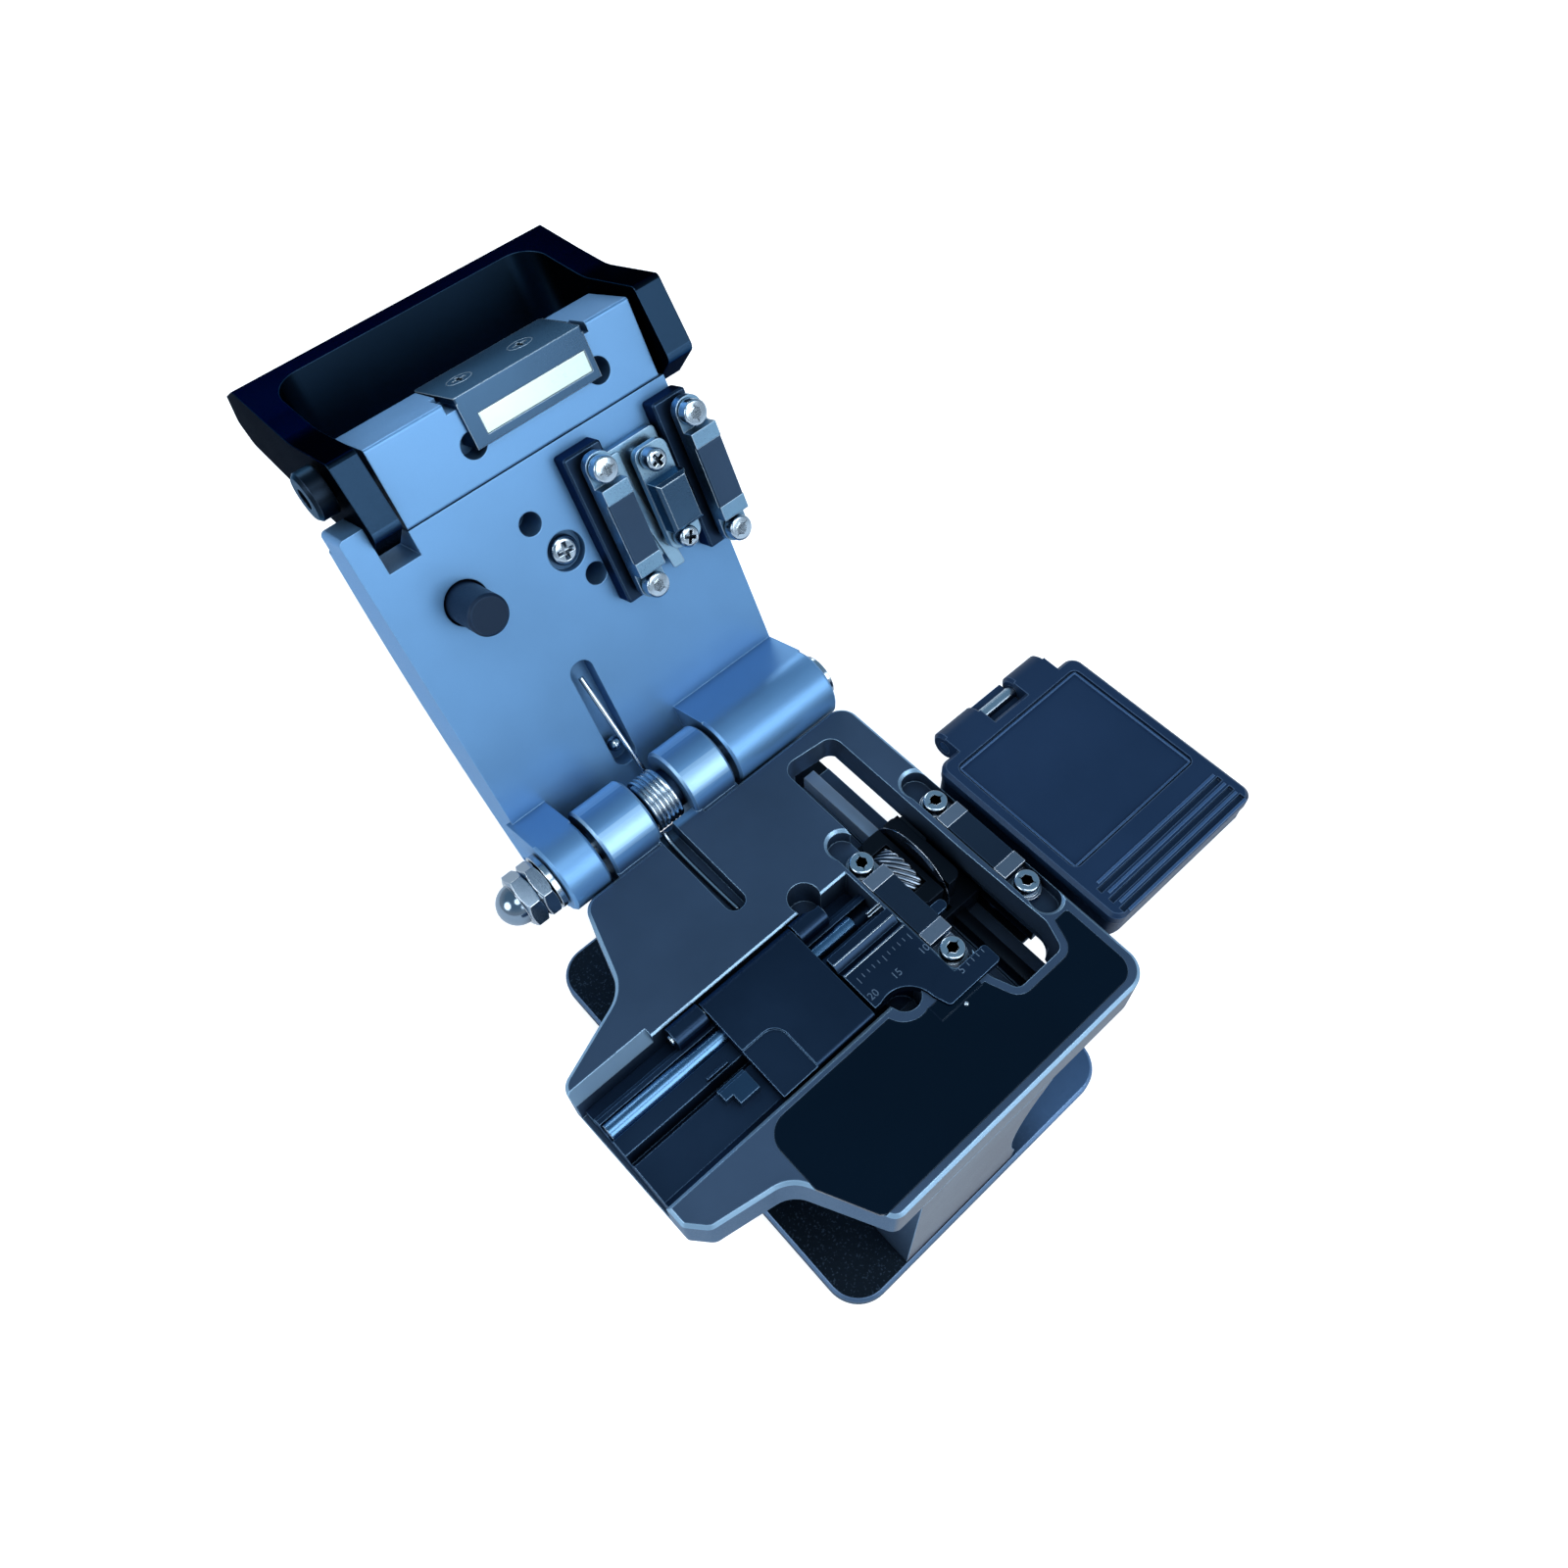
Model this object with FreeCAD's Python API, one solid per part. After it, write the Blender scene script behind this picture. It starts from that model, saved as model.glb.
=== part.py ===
import FreeCAD, Part
import math
import os

os.makedirs("parts", exist_ok=True)
V = FreeCAD.Vector

# Heights above the table
pad_height = 1.5
base_thickness = 2.5
deck_top = 50.0
flange_thickness = 9.0

# Base plate and pillar
base_half_x = 30.0
base_half_y = 40.0
base_corner = 6.0
pad_inset = 2.0
pillar_left = -18.2
pillar_right = 6.2
scoop_depth = 2.6
base_screw_inset = 11.0

# Deck outline
wing_left = -44.7
wing_rear = 3.9
wing_front = -21.2
deck_left = -25.6
deck_right = 27.1
deck_rear = 23.9
deck_front = -39.3
panel_left = -28.4
panel_right = 25.4
panel_front = -37.8
panel_rear = -19.2
panel_thickness = 0.6
panel_sink = 0.5

# Fibre slot and the pieces in it
slot_rear = 1.2
slot_front = -18.0
slot_bevel = 2.3
slot_bevel_right = -31.0
slot_floor = deck_top - 7.5
guide_right = 6.2
fibre_line = -9.55
vee_half_width = 1.0
vee_depth = 2.0
rod_radius = 1.4
rod_line = -4.4
rod_right = 2.0
guide_flat = deck_top - 2.0
rod_height = guide_flat - 0.9
scale_left = -5.6
scale_right = 12.6
scale_rear = -7.1
scale_front = -23.8
scale_bottom = deck_top - 1.0
scale_top = scale_bottom + 1.5
bite_x = -2.9
bite_y = -21.2
bite_radius = 4.5
notch_x = -1.1
notch_y = -18.2
notch_radius = 2.5
ring_radius = 3.95

# Flap that holds the fibre down
flap_left = -23.2
flap_right = -6.2
flap_front = -17.6
flap_top = deck_top + 0.4
flap_thickness = 1.7
flap_pin_y = -0.7
flap_pin_z = flap_top - 1.5
flap_pin_radius = 0.8
flap_barrel = 1.5

# Clamps below and in the lid
clamp_left = 9.05
clamp_right = 24.75
clamp_width = 4.4
clamp_middle = -8.5
clamp_pitch = 18.7
clamp_floor = deck_top - 3.0
pad_top = deck_top + 0.2
pad_length = 9.4
tab_length = 2.3
ear_thickness = 1.3
clamp_head_radius = 1.9
clamp_head_height = 1.6
washer_thickness = 0.25
small_shank = 1.0
small_socket = 0.9

# Blade carriage and its rail
blade_plane = 16.85
blade_rest_y = -2.5
blade_radius = 8.0
blade_top = pad_top + 0.1
blade_thickness = 0.6
dial_radius = 5.6
dial_left = 11.9
dial_right = 15.1
hub_radius = 2.0
dial_teeth = 30
shaft_radius = 1.45
carriage_half_length = 9.0
carriage_top = deck_top - 3.5
rail_left = 17.9
rail_right = 20.1
rail_bottom = deck_top - 15.6
rail_top = rail_bottom + 3.2
rail_front = -31.0
rail_rear = 23.4
carriage_bottom = rail_bottom + 0.3
bed_right = 23.5
bed_thickness = 2.9
relief_left = 14.0
relief_right = 23.0
relief_height = 4.0
pocket_corner = 2.2

# Lid hinge
hinge_y = 30.4
hinge_z = deck_top + 0.2
barrel_radius = 6.2
hinge_pin_radius = 2.5
lid_open_angle = 116.0
base_knuckles = [(-18.8, -10.0), (-3.3, 4.7)]
lid_knuckles = [(-26.5, -19.8), (5.7, 26.2)]
spring_span = (-9.2, -4.1)
spring_radius = 4.6
spring_coils = 6
sleeve_radius = 3.4
nut_size = 8.0

# Lid, in its own directions: x across, u from hinge to front, v towards the base
lid_left = -25.8
lid_right = 26.2
lid_face = -8.0
lid_plate_back = -15.5
lid_rear = -5.5
seam_room = 4.35
lid_seam = hinge_y - clamp_middle + clamp_pitch / 2 + seam_room
cover_front = -18.5
cover_crown = -21.0
cover_rear = -18.0
bar_left = -17.0
bar_right = 25.4
bar_front = lid_seam + 11.7
bar_back = -22.6
arm_notch_rear = lid_seam - 3.6
strip_front = lid_seam + 3.4
plunger_x = -15.0
plunger_u = 39.9
plunger_radius = 3.0
plunger_travel = 1.5
lid_screw_x = 1.3
lid_screw_u = 38.3
magnet_left = -1.4
magnet_right = 16.1
magnet_rear = bar_front - 6.0
magnet_front = magnet_rear + 3.0

# Handle
handle_left = -22.1
handle_right = 30.7
arm_inner_left = -18.0
arm_inner_right = 26.4
pivot_u = bar_front - 3.4
pivot_v = -14.5
pivot_radius = 1.75
pivot_head_radius = 3.5
pivot_head_height = 2.9
handle_underside = -34.0

# Scrap box
box_left = 29.4
box_right = 60.8
box_front = -31.2
box_rear = 4.8
box_taper = 9.5
box_bottom = deck_top - 21.0
box_wall = 1.4
box_rim = deck_top - 2.4
box_lid_top = deck_top + 0.2
box_pin_y = box_rear + 2.8
bracket_left = 23.3
bracket_screw_x = 25.2
box_pin_radius = 1.1
box_barrel = 2.5
box_knuckle_ends = (33.8, 57.0)
box_window = (41.9, 49.7)

# Fits
running_fit = 0.05
slide_fit = 0.15
open_gap = 0.3
seat_gap = 0.1


def wire_through(corners):
    # Closed wire in the XY plane; each corner is (x, y) or (x, y, radius)
    count = len(corners)
    turns = []
    for index in range(count):
        corner = corners[index]
        here = V(corner[0], corner[1], 0)
        if len(corner) < 3:
            turns.append((here, None, here))
            continue
        radius = corner[2]
        before = corners[index - 1]
        after = corners[(index + 1) % count]
        back = V(before[0] - corner[0], before[1] - corner[1], 0).normalize()
        ahead = V(after[0] - corner[0], after[1] - corner[1], 0).normalize()
        half = back.getAngle(ahead) / 2
        inset = radius / math.tan(half)
        bisector = (back + ahead).normalize()
        middle = here + bisector * (radius / math.sin(half) - radius)
        turns.append((here + back * inset, middle, here + ahead * inset))
    edges = []
    for index in range(count):
        start, middle, end = turns[index]
        if middle is not None:
            edges.append(Part.Arc(start, middle, end).toShape())
        following = turns[(index + 1) % count][0]
        if (following - end).Length > 1e-6:
            edges.append(Part.makeLine(end, following))
    return Part.Wire(edges)


def slab(corners, low, high, grow=0.0):
    # Flat piece from an XY outline, standing between two heights
    face = Part.Face(wire_through(corners))
    if grow:
        face = face.makeOffset2D(grow)
    face.translate(V(0, 0, low))
    return face.extrude(V(0, 0, high - low))


def slab_across(corners, left, right):
    # Piece from a (y, z) outline, running along X
    shape = slab(corners, left, right)
    shape.rotate(V(0, 0, 0), V(1, 1, 1), 120)
    return shape


def slab_along(corners, front, rear):
    # Piece from an (x, z) outline, running along Y
    shape = slab(corners, -rear, -front)
    shape.rotate(V(0, 0, 0), V(1, 0, 0), 90)
    return shape


def block(x, y, z):
    # Box from three (low, high) pairs
    return Part.makeBox(x[1] - x[0], y[1] - y[0], z[1] - z[0], V(x[0], y[0], z[0]))


def round_x(y, z, radius, left, right):
    return Part.makeCylinder(radius, right - left, V(left, y, z), V(1, 0, 0))


def round_y(x, z, radius, front, rear):
    return Part.makeCylinder(radius, rear - front, V(x, front, z), V(0, 1, 0))


def round_z(x, y, radius, low, high):
    return Part.makeCylinder(radius, high - low, V(x, y, low), V(0, 0, 1))


def thin_corners(first, second, radius):
    # Twelve-sided outline for slender bores and shanks
    corners = []
    for side in range(12):
        angle = math.radians(30 * side)
        corners.append((first + radius * math.cos(angle), second + radius * math.sin(angle)))
    return corners


def thin_x(y, z, radius, left, right):
    return slab_across(thin_corners(y, z, radius), left, right)


def thin_y(x, z, radius, front, rear):
    return slab_along(thin_corners(x, z, radius), front, rear)


def thin_z(x, y, radius, low, high):
    return slab(thin_corners(x, y, radius), low, high)


def rounded_box(x, y, z, radius):
    # Box with its upright edges rounded
    corners = [
        (x[0], y[0], radius),
        (x[1], y[0], radius),
        (x[1], y[1], radius),
        (x[0], y[1], radius),
    ]
    return slab(corners, z[0], z[1])


def bevel_rim(shape, height, size):
    # Bevels every edge that lies flat at one height
    rim = []
    for edge in shape.Edges:
        box = edge.BoundBox
        if abs(box.ZMin - height) < 1e-4 and abs(box.ZMax - height) < 1e-4:
            rim.append(edge)
    return shape.makeChamfer(size, rim)


def cross_recess(radius, height, depth):
    # Phillips recess: two tapered slots sunk from a head's top
    arm = block((-radius, radius), (-radius * 0.24, radius * 0.24), (height - depth, height + 1))
    other = arm.copy()
    other.rotate(V(0, 0, 0), V(0, 0, 1), 90)
    return arm.fuse(other)


def cap_screw(head_radius, head_height, shank_radius, shank_length, socket_radius):
    # Socket head standing on z = 0 with its shank below
    head = bevel_rim(round_z(0, 0, head_radius, 0, head_height), head_height, head_height * 0.15)
    hexagon = []
    for side in range(6):
        angle = math.radians(60 * side)
        hexagon.append((socket_radius * math.cos(angle), socket_radius * math.sin(angle)))
    head = head.cut(slab(hexagon, head_height * 0.4, head_height + 1))
    return head.fuse(thin_z(0, 0, shank_radius, -shank_length, 0))


def pan_screw(head_radius, head_height, shank_radius, shank_length):
    # Rounded head with a cross recess, standing on z = 0
    head = bevel_rim(round_z(0, 0, head_radius, 0, head_height), head_height, head_height * 0.35)
    head = head.cut(cross_recess(head_radius * 0.6, head_height, head_height * 0.6))
    return head.fuse(thin_z(0, 0, shank_radius, -shank_length, 0))


def sunk_screw(head_radius, shank_radius, shank_length):
    # Countersunk head with its flat face at z = 0
    cone_height = head_radius - shank_radius
    cone = Part.makeCone(shank_radius, head_radius, cone_height, V(0, 0, -cone_height), V(0, 0, 1))
    cone = cone.cut(cross_recess(head_radius * 0.55, 0, cone_height * 0.6))
    return cone.fuse(thin_z(0, 0, shank_radius, -shank_length, -cone_height))


def moved(shape, x, y, z):
    copy = shape.copy()
    copy.translate(V(x, y, z))
    return copy


def turned(shape, axis, angle):
    copy = shape.copy()
    copy.rotate(V(0, 0, 0), axis, angle)
    return copy


def export(name, shape):
    # One STEP file per piece; a list of shapes becomes separate solids
    if isinstance(shape, list):
        shape = Part.makeCompound(shape)
    shape = shape.removeSplitter()
    if len(shape.Solids) == 1:
        shape = shape.Solids[0]
    shape.exportStep("parts/" + name + ".step")


lid_turn = FreeCAD.Rotation(V(1, 0, 0), 180 - lid_open_angle)
lid_place = FreeCAD.Placement(V(0, hinge_y, hinge_z), lid_turn)


def export_lid(name, shape):
    # Turns a piece drawn in x, u, v to where the open lid holds it
    if isinstance(shape, list):
        shape = Part.makeCompound(shape)
    shape = shape.removeSplitter()
    if len(shape.Solids) == 1:
        shape = shape.Solids[0]
    shape.Placement = lid_place.multiply(shape.Placement)
    shape.exportStep("parts/" + name + ".step")


flange_bottom = deck_top - flange_thickness
pillar_bottom = pad_height + base_thickness
clamp_ends = [clamp_middle + clamp_pitch / 2, clamp_middle - clamp_pitch / 2]
blade_centre = blade_top - blade_radius
pad_span = (clamp_middle - pad_length / 2, clamp_middle + pad_length / 2)
raised_span = (pad_span[0] - tab_length, pad_span[1] + tab_length)

deck_corners = [
    (wing_left, wing_rear, 2.5),
    (-30.0, 9.6, 6.0),
    (deck_left, deck_rear, 3.0),
    (deck_right, deck_rear, 3.0),
    (deck_right, deck_front, 4.0),
    (-23.2, deck_front, 2.0),
    (-30.0, -26.2, 5.0),
    (-41.6, -24.0, 2.0),
    (wing_left + 0.6, wing_front, 1.0),
]

pocket_corners = [
    (11.4, 21.4, pocket_corner),
    (21.5, 20.4, pocket_corner),
    (21.5, -8.0),
    (21.9, -24.1, 2.0),
    (20.3, -28.5, 1.5),
    (11.3, -28.5, 1.5),
    (9.6, -24.1, 2.0),
    (11.3, -19.0),
    (11.3, 4.0),
]

scale_corners = [
    (scale_left, -21.2),
    (1.6, -21.2),
    (2.4, scale_front, 0.6),
    (scale_right, scale_front, 0.6),
    (scale_right, -20.6, 0.6),
    (6.4, -20.6),
    (6.4, scale_rear),
    (scale_left, scale_rear),
]


def scale_outline(low, high, grow=0.0):
    # Stepped plate with a round bite taken from its front left corner
    plate = slab(scale_corners, low, high, grow)
    plate = plate.cut(block((scale_left - 1, -3.2), (-26, -17.0 - grow), (low - 1, high + 1)))
    return plate.cut(round_z(bite_x, bite_y, bite_radius - grow, low - 1, high + 1))


def notch_hole(low):
    # Round hole between the slot's front edge and the scale plate
    return round_z(notch_x, notch_y, notch_radius, low, deck_top + 1)


def clamp_recess(x, front_room):
    # Round-ended seat milled in the deck for one lower clamp, bevelled round its ends
    half = clamp_width / 2 + seat_gap
    radius = half - 0.05
    rear = clamp_ends[0] + 6.4
    front = clamp_ends[1] - front_room
    recess = rounded_box((x - half, x + half), (front, rear), (clamp_floor, deck_top + 1), radius)
    for y in (rear - radius, front + radius):
        recess = recess.fuse(Part.makeCone(radius, radius + 0.6, 0.6, V(x, y, deck_top - 0.5), V(0, 0, 1)))
    return recess


def make_base():
    plate = rounded_box(
        (-base_half_x, base_half_x),
        (-base_half_y, base_half_y),
        (pad_height, pillar_bottom),
        base_corner,
    )
    plate = bevel_rim(plate, pillar_bottom, 0.5)
    screw = sunk_screw(2.8, 1.5, 8.0)
    screw = turned(screw, V(1, 0, 0), 180)
    bore = Part.makeCone(2.8, 1.5, 1.3).fuse(thin_z(0, 0, 1.5, 0, 8.0))
    screws = []
    centre_x = (pillar_left + pillar_right) / 2
    half_width = (pillar_right - pillar_left) / 2 - 4.5
    for x in (centre_x - half_width, centre_x + half_width):
        for y in (deck_front + base_screw_inset, deck_rear - base_screw_inset):
            screws.append(moved(screw, x, y, pad_height))
            plate = plate.cut(moved(bore, x, y, pad_height))
    pad = rounded_box(
        (pad_inset - base_half_x, base_half_x - pad_inset),
        (pad_inset - base_half_y, base_half_y - pad_inset),
        (0, pad_height),
        base_corner - pad_inset,
    )
    export("base_plate", plate)
    export("base_screws", screws)
    export("base_pad", pad)
    return screws


def make_body(screws):
    flange = slab(deck_corners, flange_bottom, deck_top)
    flange = bevel_rim(flange, deck_top, 0.5)
    flange = bevel_rim(flange, flange_bottom, 0.8)
    # Pillar with a hollow grip along its right side, flared into the flange
    grip_low = pillar_bottom + 5
    grip_high = flange_bottom - 4
    grip_middle = (grip_low + grip_high) / 2
    right_wall = Part.Arc(
        V(pillar_right, grip_high, 0),
        V(pillar_right - scoop_depth, grip_middle, 0),
        V(pillar_right, grip_low, 0),
    ).toShape()
    corners = [
        V(pillar_right, grip_low, 0),
        V(pillar_right, pillar_bottom, 0),
        V(pillar_left, pillar_bottom, 0),
        V(pillar_left, flange_bottom + 0.5, 0),
        V(pillar_right + 2, flange_bottom + 0.5, 0),
        V(pillar_right, grip_high, 0),
    ]
    edges = [Part.makeLine(start, end) for start, end in zip(corners, corners[1:])]
    pillar = Part.Face(Part.Wire(edges + [right_wall])).extrude(V(0, 0, deck_rear - deck_front))
    pillar.rotate(V(0, 0, 0), V(1, 0, 0), 90)
    pillar.translate(V(0, deck_rear, 0))
    body = flange.fuse(pillar)
    # Bed for the blade's rail, standing out from the pillar
    bed_bottom = rail_bottom - bed_thickness
    bed = block((pillar_right - scoop_depth, bed_right), (rail_front, rail_rear), (bed_bottom, rail_bottom))
    groove_half = blade_thickness / 2 + open_gap + 0.2
    groove = block(
        (blade_plane - groove_half, blade_plane + groove_half),
        (rail_front - 1, rail_rear + 1),
        (blade_centre - blade_radius - 0.6, rail_bottom + 1),
    )
    body = body.fuse(bed.cut(groove))
    for y in rail_screw_rows():
        body = body.cut(round_z((rail_left + rail_right) / 2, y, small_shank, bed_bottom - 1, rail_bottom))
    # Ledge under the hinge, and the deck's edge drawn out to the spring
    ledge = block(
        (deck_left + 3.0, relief_left - 0.2),
        (deck_rear - 1.0, hinge_y - 1.9),
        (flange_bottom, hinge_z - barrel_radius + 0.3),
    )
    body = body.fuse(ledge.cut(round_x(hinge_y, hinge_z, barrel_radius + 0.4, wing_left, box_right)))
    body = body.fuse(block(
        (base_knuckles[0][1] - 1, base_knuckles[1][0] + 1),
        (deck_rear - 1.0, hinge_y - spring_radius + 0.4),
        (flange_bottom + 1.0, deck_top),
    ))
    # Hinge knuckles on a web behind the deck
    web = [
        (deck_rear - 1.5, flange_bottom + 0.8),
        (hinge_y, hinge_z - barrel_radius),
        (hinge_y, hinge_z),
        (deck_rear - 1.5, deck_top - 0.5),
    ]
    for left, right in base_knuckles:
        body = body.fuse(slab_across(web, left, right))
        barrel = round_x(hinge_y, hinge_z, barrel_radius, left, right)
        barrel = barrel.makeChamfer(0.4, [barrel.Edges[0], barrel.Edges[2]])
        body = body.fuse(barrel)
    body = body.cut(round_x(hinge_y, hinge_z, hinge_pin_radius, wing_left, box_right))
    # Fibre slot with a bevelled rear edge
    slot = [
        (slot_front, slot_floor),
        (slot_rear, slot_floor),
        (slot_rear, deck_top - 0.3),
        (slot_rear + 0.3, deck_top),
        (slot_rear + 0.3, deck_top + 1),
        (slot_front - 0.5, deck_top + 1),
        (slot_front - 0.5, deck_top),
        (slot_front, deck_top - 0.5),
    ]
    body = body.cut(slab_across(slot, wing_left - 1, guide_right))
    wide_bevel = [
        (slot_rear - 0.1, deck_top - slot_bevel - 0.15),
        (slot_rear + 1.5, deck_top),
        (slot_rear + 1.5, deck_top + 1),
        (slot_rear - 0.1, deck_top + 1),
    ]
    body = body.cut(slab_across(wide_bevel, wing_left - 1, slot_bevel_right))
    body = body.cut(round_z(-1.2, slot_rear + 1.2, 2.5, slot_floor + 1.5, deck_top + 1))
    # Blade pocket right through the deck, wider below on the right
    body = body.cut(slab(pocket_corners, flange_bottom - 1, deck_top + 1))
    relief = rounded_box(
        (relief_left, relief_right),
        (-26.5, hinge_y),
        (flange_bottom - 1, flange_bottom + relief_height),
        3.0,
    )
    body = body.cut(relief)
    # Seats for the clamps, scale plate and panel
    for x in (clamp_left, clamp_right):
        body = body.cut(clamp_recess(x, 3.0 if x == clamp_left else 6.0))
        for y in clamp_ends:
            body = body.cut(thin_z(x, y, small_shank, clamp_floor - 4.0, deck_top))
    body = body.cut(scale_outline(scale_bottom, deck_top + 1, seat_gap))
    body = body.cut(notch_hole(slot_floor + 1.0))
    body = body.cut(panel_outline(deck_top - panel_sink, deck_top + 1))
    # Slot for the spring's leg, open at the rear
    leg_slot = rounded_box((-10.6, -7.2), (7.5, deck_rear + 8), (deck_top - 3, deck_top + 1), 1.6)
    body = body.cut(leg_slot)
    spring_clear = round_x(hinge_y, hinge_z, spring_radius + open_gap, base_knuckles[0][1], base_knuckles[1][0])
    body = body.cut(spring_clear)
    # Threads for the base and bracket screws
    for screw in screws:
        place = screw.BoundBox.Center
        body = body.cut(thin_z(place.x, place.y, 1.5, 0, screw.BoundBox.ZMax))
    for y in bracket_screw_rows():
        body = body.cut(thin_z(bracket_screw_x, y, small_shank, flange_bottom - 1, flange_bottom + 4))
    export("body_block", body)


def panel_outline(low, high):
    # Front panel with a tongue beside the blade pocket
    outline = [
        (panel_left, panel_front, 3.5),
        (panel_right, panel_front, 3.0),
        (panel_right, -24.9, 0.6),
        (22.6, -24.9, 0.3),
        (22.6, panel_rear),
        (panel_left, panel_rear, 3.5),
    ]
    panel = slab(outline, low, high)
    panel = panel.cut(slab(pocket_corners, low - 1, high + 1, 1.2))
    panel = panel.cut(block((0.0, 22.6), (-24.5, -10), (low - 1, high + 1)))
    return panel.cut(round_z(notch_x - 0.25, notch_y + 0.1, ring_radius, low - 1, high + 1))


def make_panel():
    export("deck_panel", panel_outline(deck_top - panel_sink, deck_top - panel_sink + panel_thickness))


def make_slot_pieces():
    vee_bottom = guide_flat - vee_depth
    section = [
        (slot_front, slot_floor),
        (slot_rear, slot_floor),
        (slot_rear, slot_floor + 1.5),
        (-1.5, slot_floor + 1.5),
        (-1.5, guide_flat - 1.0),
        (-2.2, guide_flat - 1.0),
        (-2.2, guide_flat - 0.2),
        (rod_line + rod_radius, guide_flat - 0.2),
        (rod_line + rod_radius, rod_height),
        (rod_line - rod_radius, rod_height),
        (rod_line - rod_radius, guide_flat - 0.5),
        (fibre_line + vee_half_width, guide_flat - 0.5),
        (fibre_line, vee_bottom),
        (fibre_line - vee_half_width, guide_flat),
        (slot_front + 1.1, guide_flat),
        (slot_front, deck_top - 1.0),
    ]
    guide = slab_across(section, wing_left + 0.9, guide_right)
    rod = round_x(rod_line, rod_height, rod_radius, wing_left + 1.2, rod_right)
    guide = guide.cut(round_x(rod_line, rod_height, rod_radius, wing_left, guide_right + 1))
    # Lugs that carry the flap's pin, seated in the guide
    lugs = []
    for left, right in ((-29.0, flap_left - open_gap), (flap_right + open_gap, -0.6)):
        lug_corners = [
            (-2.4, slot_floor + 1.5),
            (1.0, slot_floor + 1.5),
            (1.0, flap_top, 1.2),
            (-2.4, flap_top, 1.2),
        ]
        lug = slab_across(lug_corners, left, right)
        guide = guide.cut(block((left, right), (-2.4, 1.0), (slot_floor + 1.5, deck_top)))
        lugs.append(lug.cut(round_x(flap_pin_y, flap_pin_z, flap_pin_radius, left - 1, right + 1)))
    guide = guide.cut(round_z(-1.2, slot_rear + 1.2, 2.5, slot_floor + 1.5, deck_top + 1))
    lugs[1] = lugs[1].cut(round_z(-1.2, slot_rear + 1.2, 2.5, slot_floor + 1.5, deck_top + 1))
    guide = guide.cut(notch_hole(slot_floor + 1.0))
    # Stop that the fibre coating meets, a stair of two steps and a side block
    steps = [
        (-11.0, guide_flat),
        (fibre_line - vee_half_width, guide_flat),
        (fibre_line - vee_half_width, guide_flat + 1.0),
        (fibre_line - 1.6, guide_flat + 1.0),
        (fibre_line - 1.6, guide_flat + 1.7),
        (-12.6, guide_flat + 1.7),
        (-12.6, guide_flat),
    ]
    stop = slab_across(steps, -29.3, -24.6)
    side = block((-28.0, -24.6), (-14.2, -12.6), (guide_flat, guide_flat + 1.7))
    export("fibre_guide", guide)
    export("guide_rod", rod)
    export("flap_lugs", lugs)
    export("flap_pin", round_x(flap_pin_y, flap_pin_z, flap_pin_radius, -29.4, -0.6 + open_gap))
    export("fibre_stop", stop.fuse(side))


def make_scale_plate():
    plate = scale_outline(scale_bottom, scale_top)
    # Groove that the fibre lies in
    groove = [
        (fibre_line - vee_half_width - 0.1, scale_top + 0.1),
        (fibre_line, scale_top - 0.9),
        (fibre_line + vee_half_width + 0.1, scale_top + 0.1),
    ]
    plate = plate.cut(slab_across(groove, scale_left - 1, 6.5))
    # Left end stands on the guide
    foot = block((scale_left, 6.1), (slot_front + 1.2, fibre_line - 1.4), (guide_flat, scale_bottom))
    bite = round_z(bite_x, bite_y, bite_radius, guide_flat - 1, scale_bottom + 1)
    export("scale_plate", plate.fuse(foot.cut(bite)))


def make_flap():
    bottom = flap_top - flap_thickness
    side = [
        (flap_front, flap_top, 0.5),
        (flap_front, bottom + 1.1),
        (flap_front + 1.2, bottom),
        (flap_pin_y, bottom),
        (flap_pin_y, flap_top),
    ]
    flap = slab_across(side, flap_left, flap_right)
    flap = flap.fuse(round_x(flap_pin_y, flap_pin_z, flap_barrel, flap_left, flap_right))
    flap = flap.cut(round_x(flap_pin_y, flap_pin_z, flap_pin_radius + running_fit, flap_left - 1, flap_right + 1))
    # Lowered corner for the fingertip
    tip = rounded_box((flap_left - 4, -17.0), (flap_front - 4, -9.0), (flap_top - 0.4, flap_top + 1), 2.4)
    export("fixture_flap", flap.cut(tip))


def lower_clamp(x):
    # Bar with two screw ears and a raised middle that holds the pad
    half = clamp_width / 2
    ear_front = clamp_ends[1] - 2.4
    ear_rear = clamp_ends[0] + 2.4
    bar = rounded_box((x - half, x + half), (ear_front, ear_rear), (clamp_floor, clamp_floor + ear_thickness), 2.1)
    middle = block((x - half, x + half), raised_span, (clamp_floor, pad_top))
    bed = block((x - half - 1, x + half + 1), pad_span, (pad_top - 0.5, pad_top + 1))
    bar = bar.fuse(middle).cut(bed)
    for y in clamp_ends:
        bar = bar.cut(thin_z(x, y, small_shank + 0.1, clamp_floor - 1, deck_top))
    return bar


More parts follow.
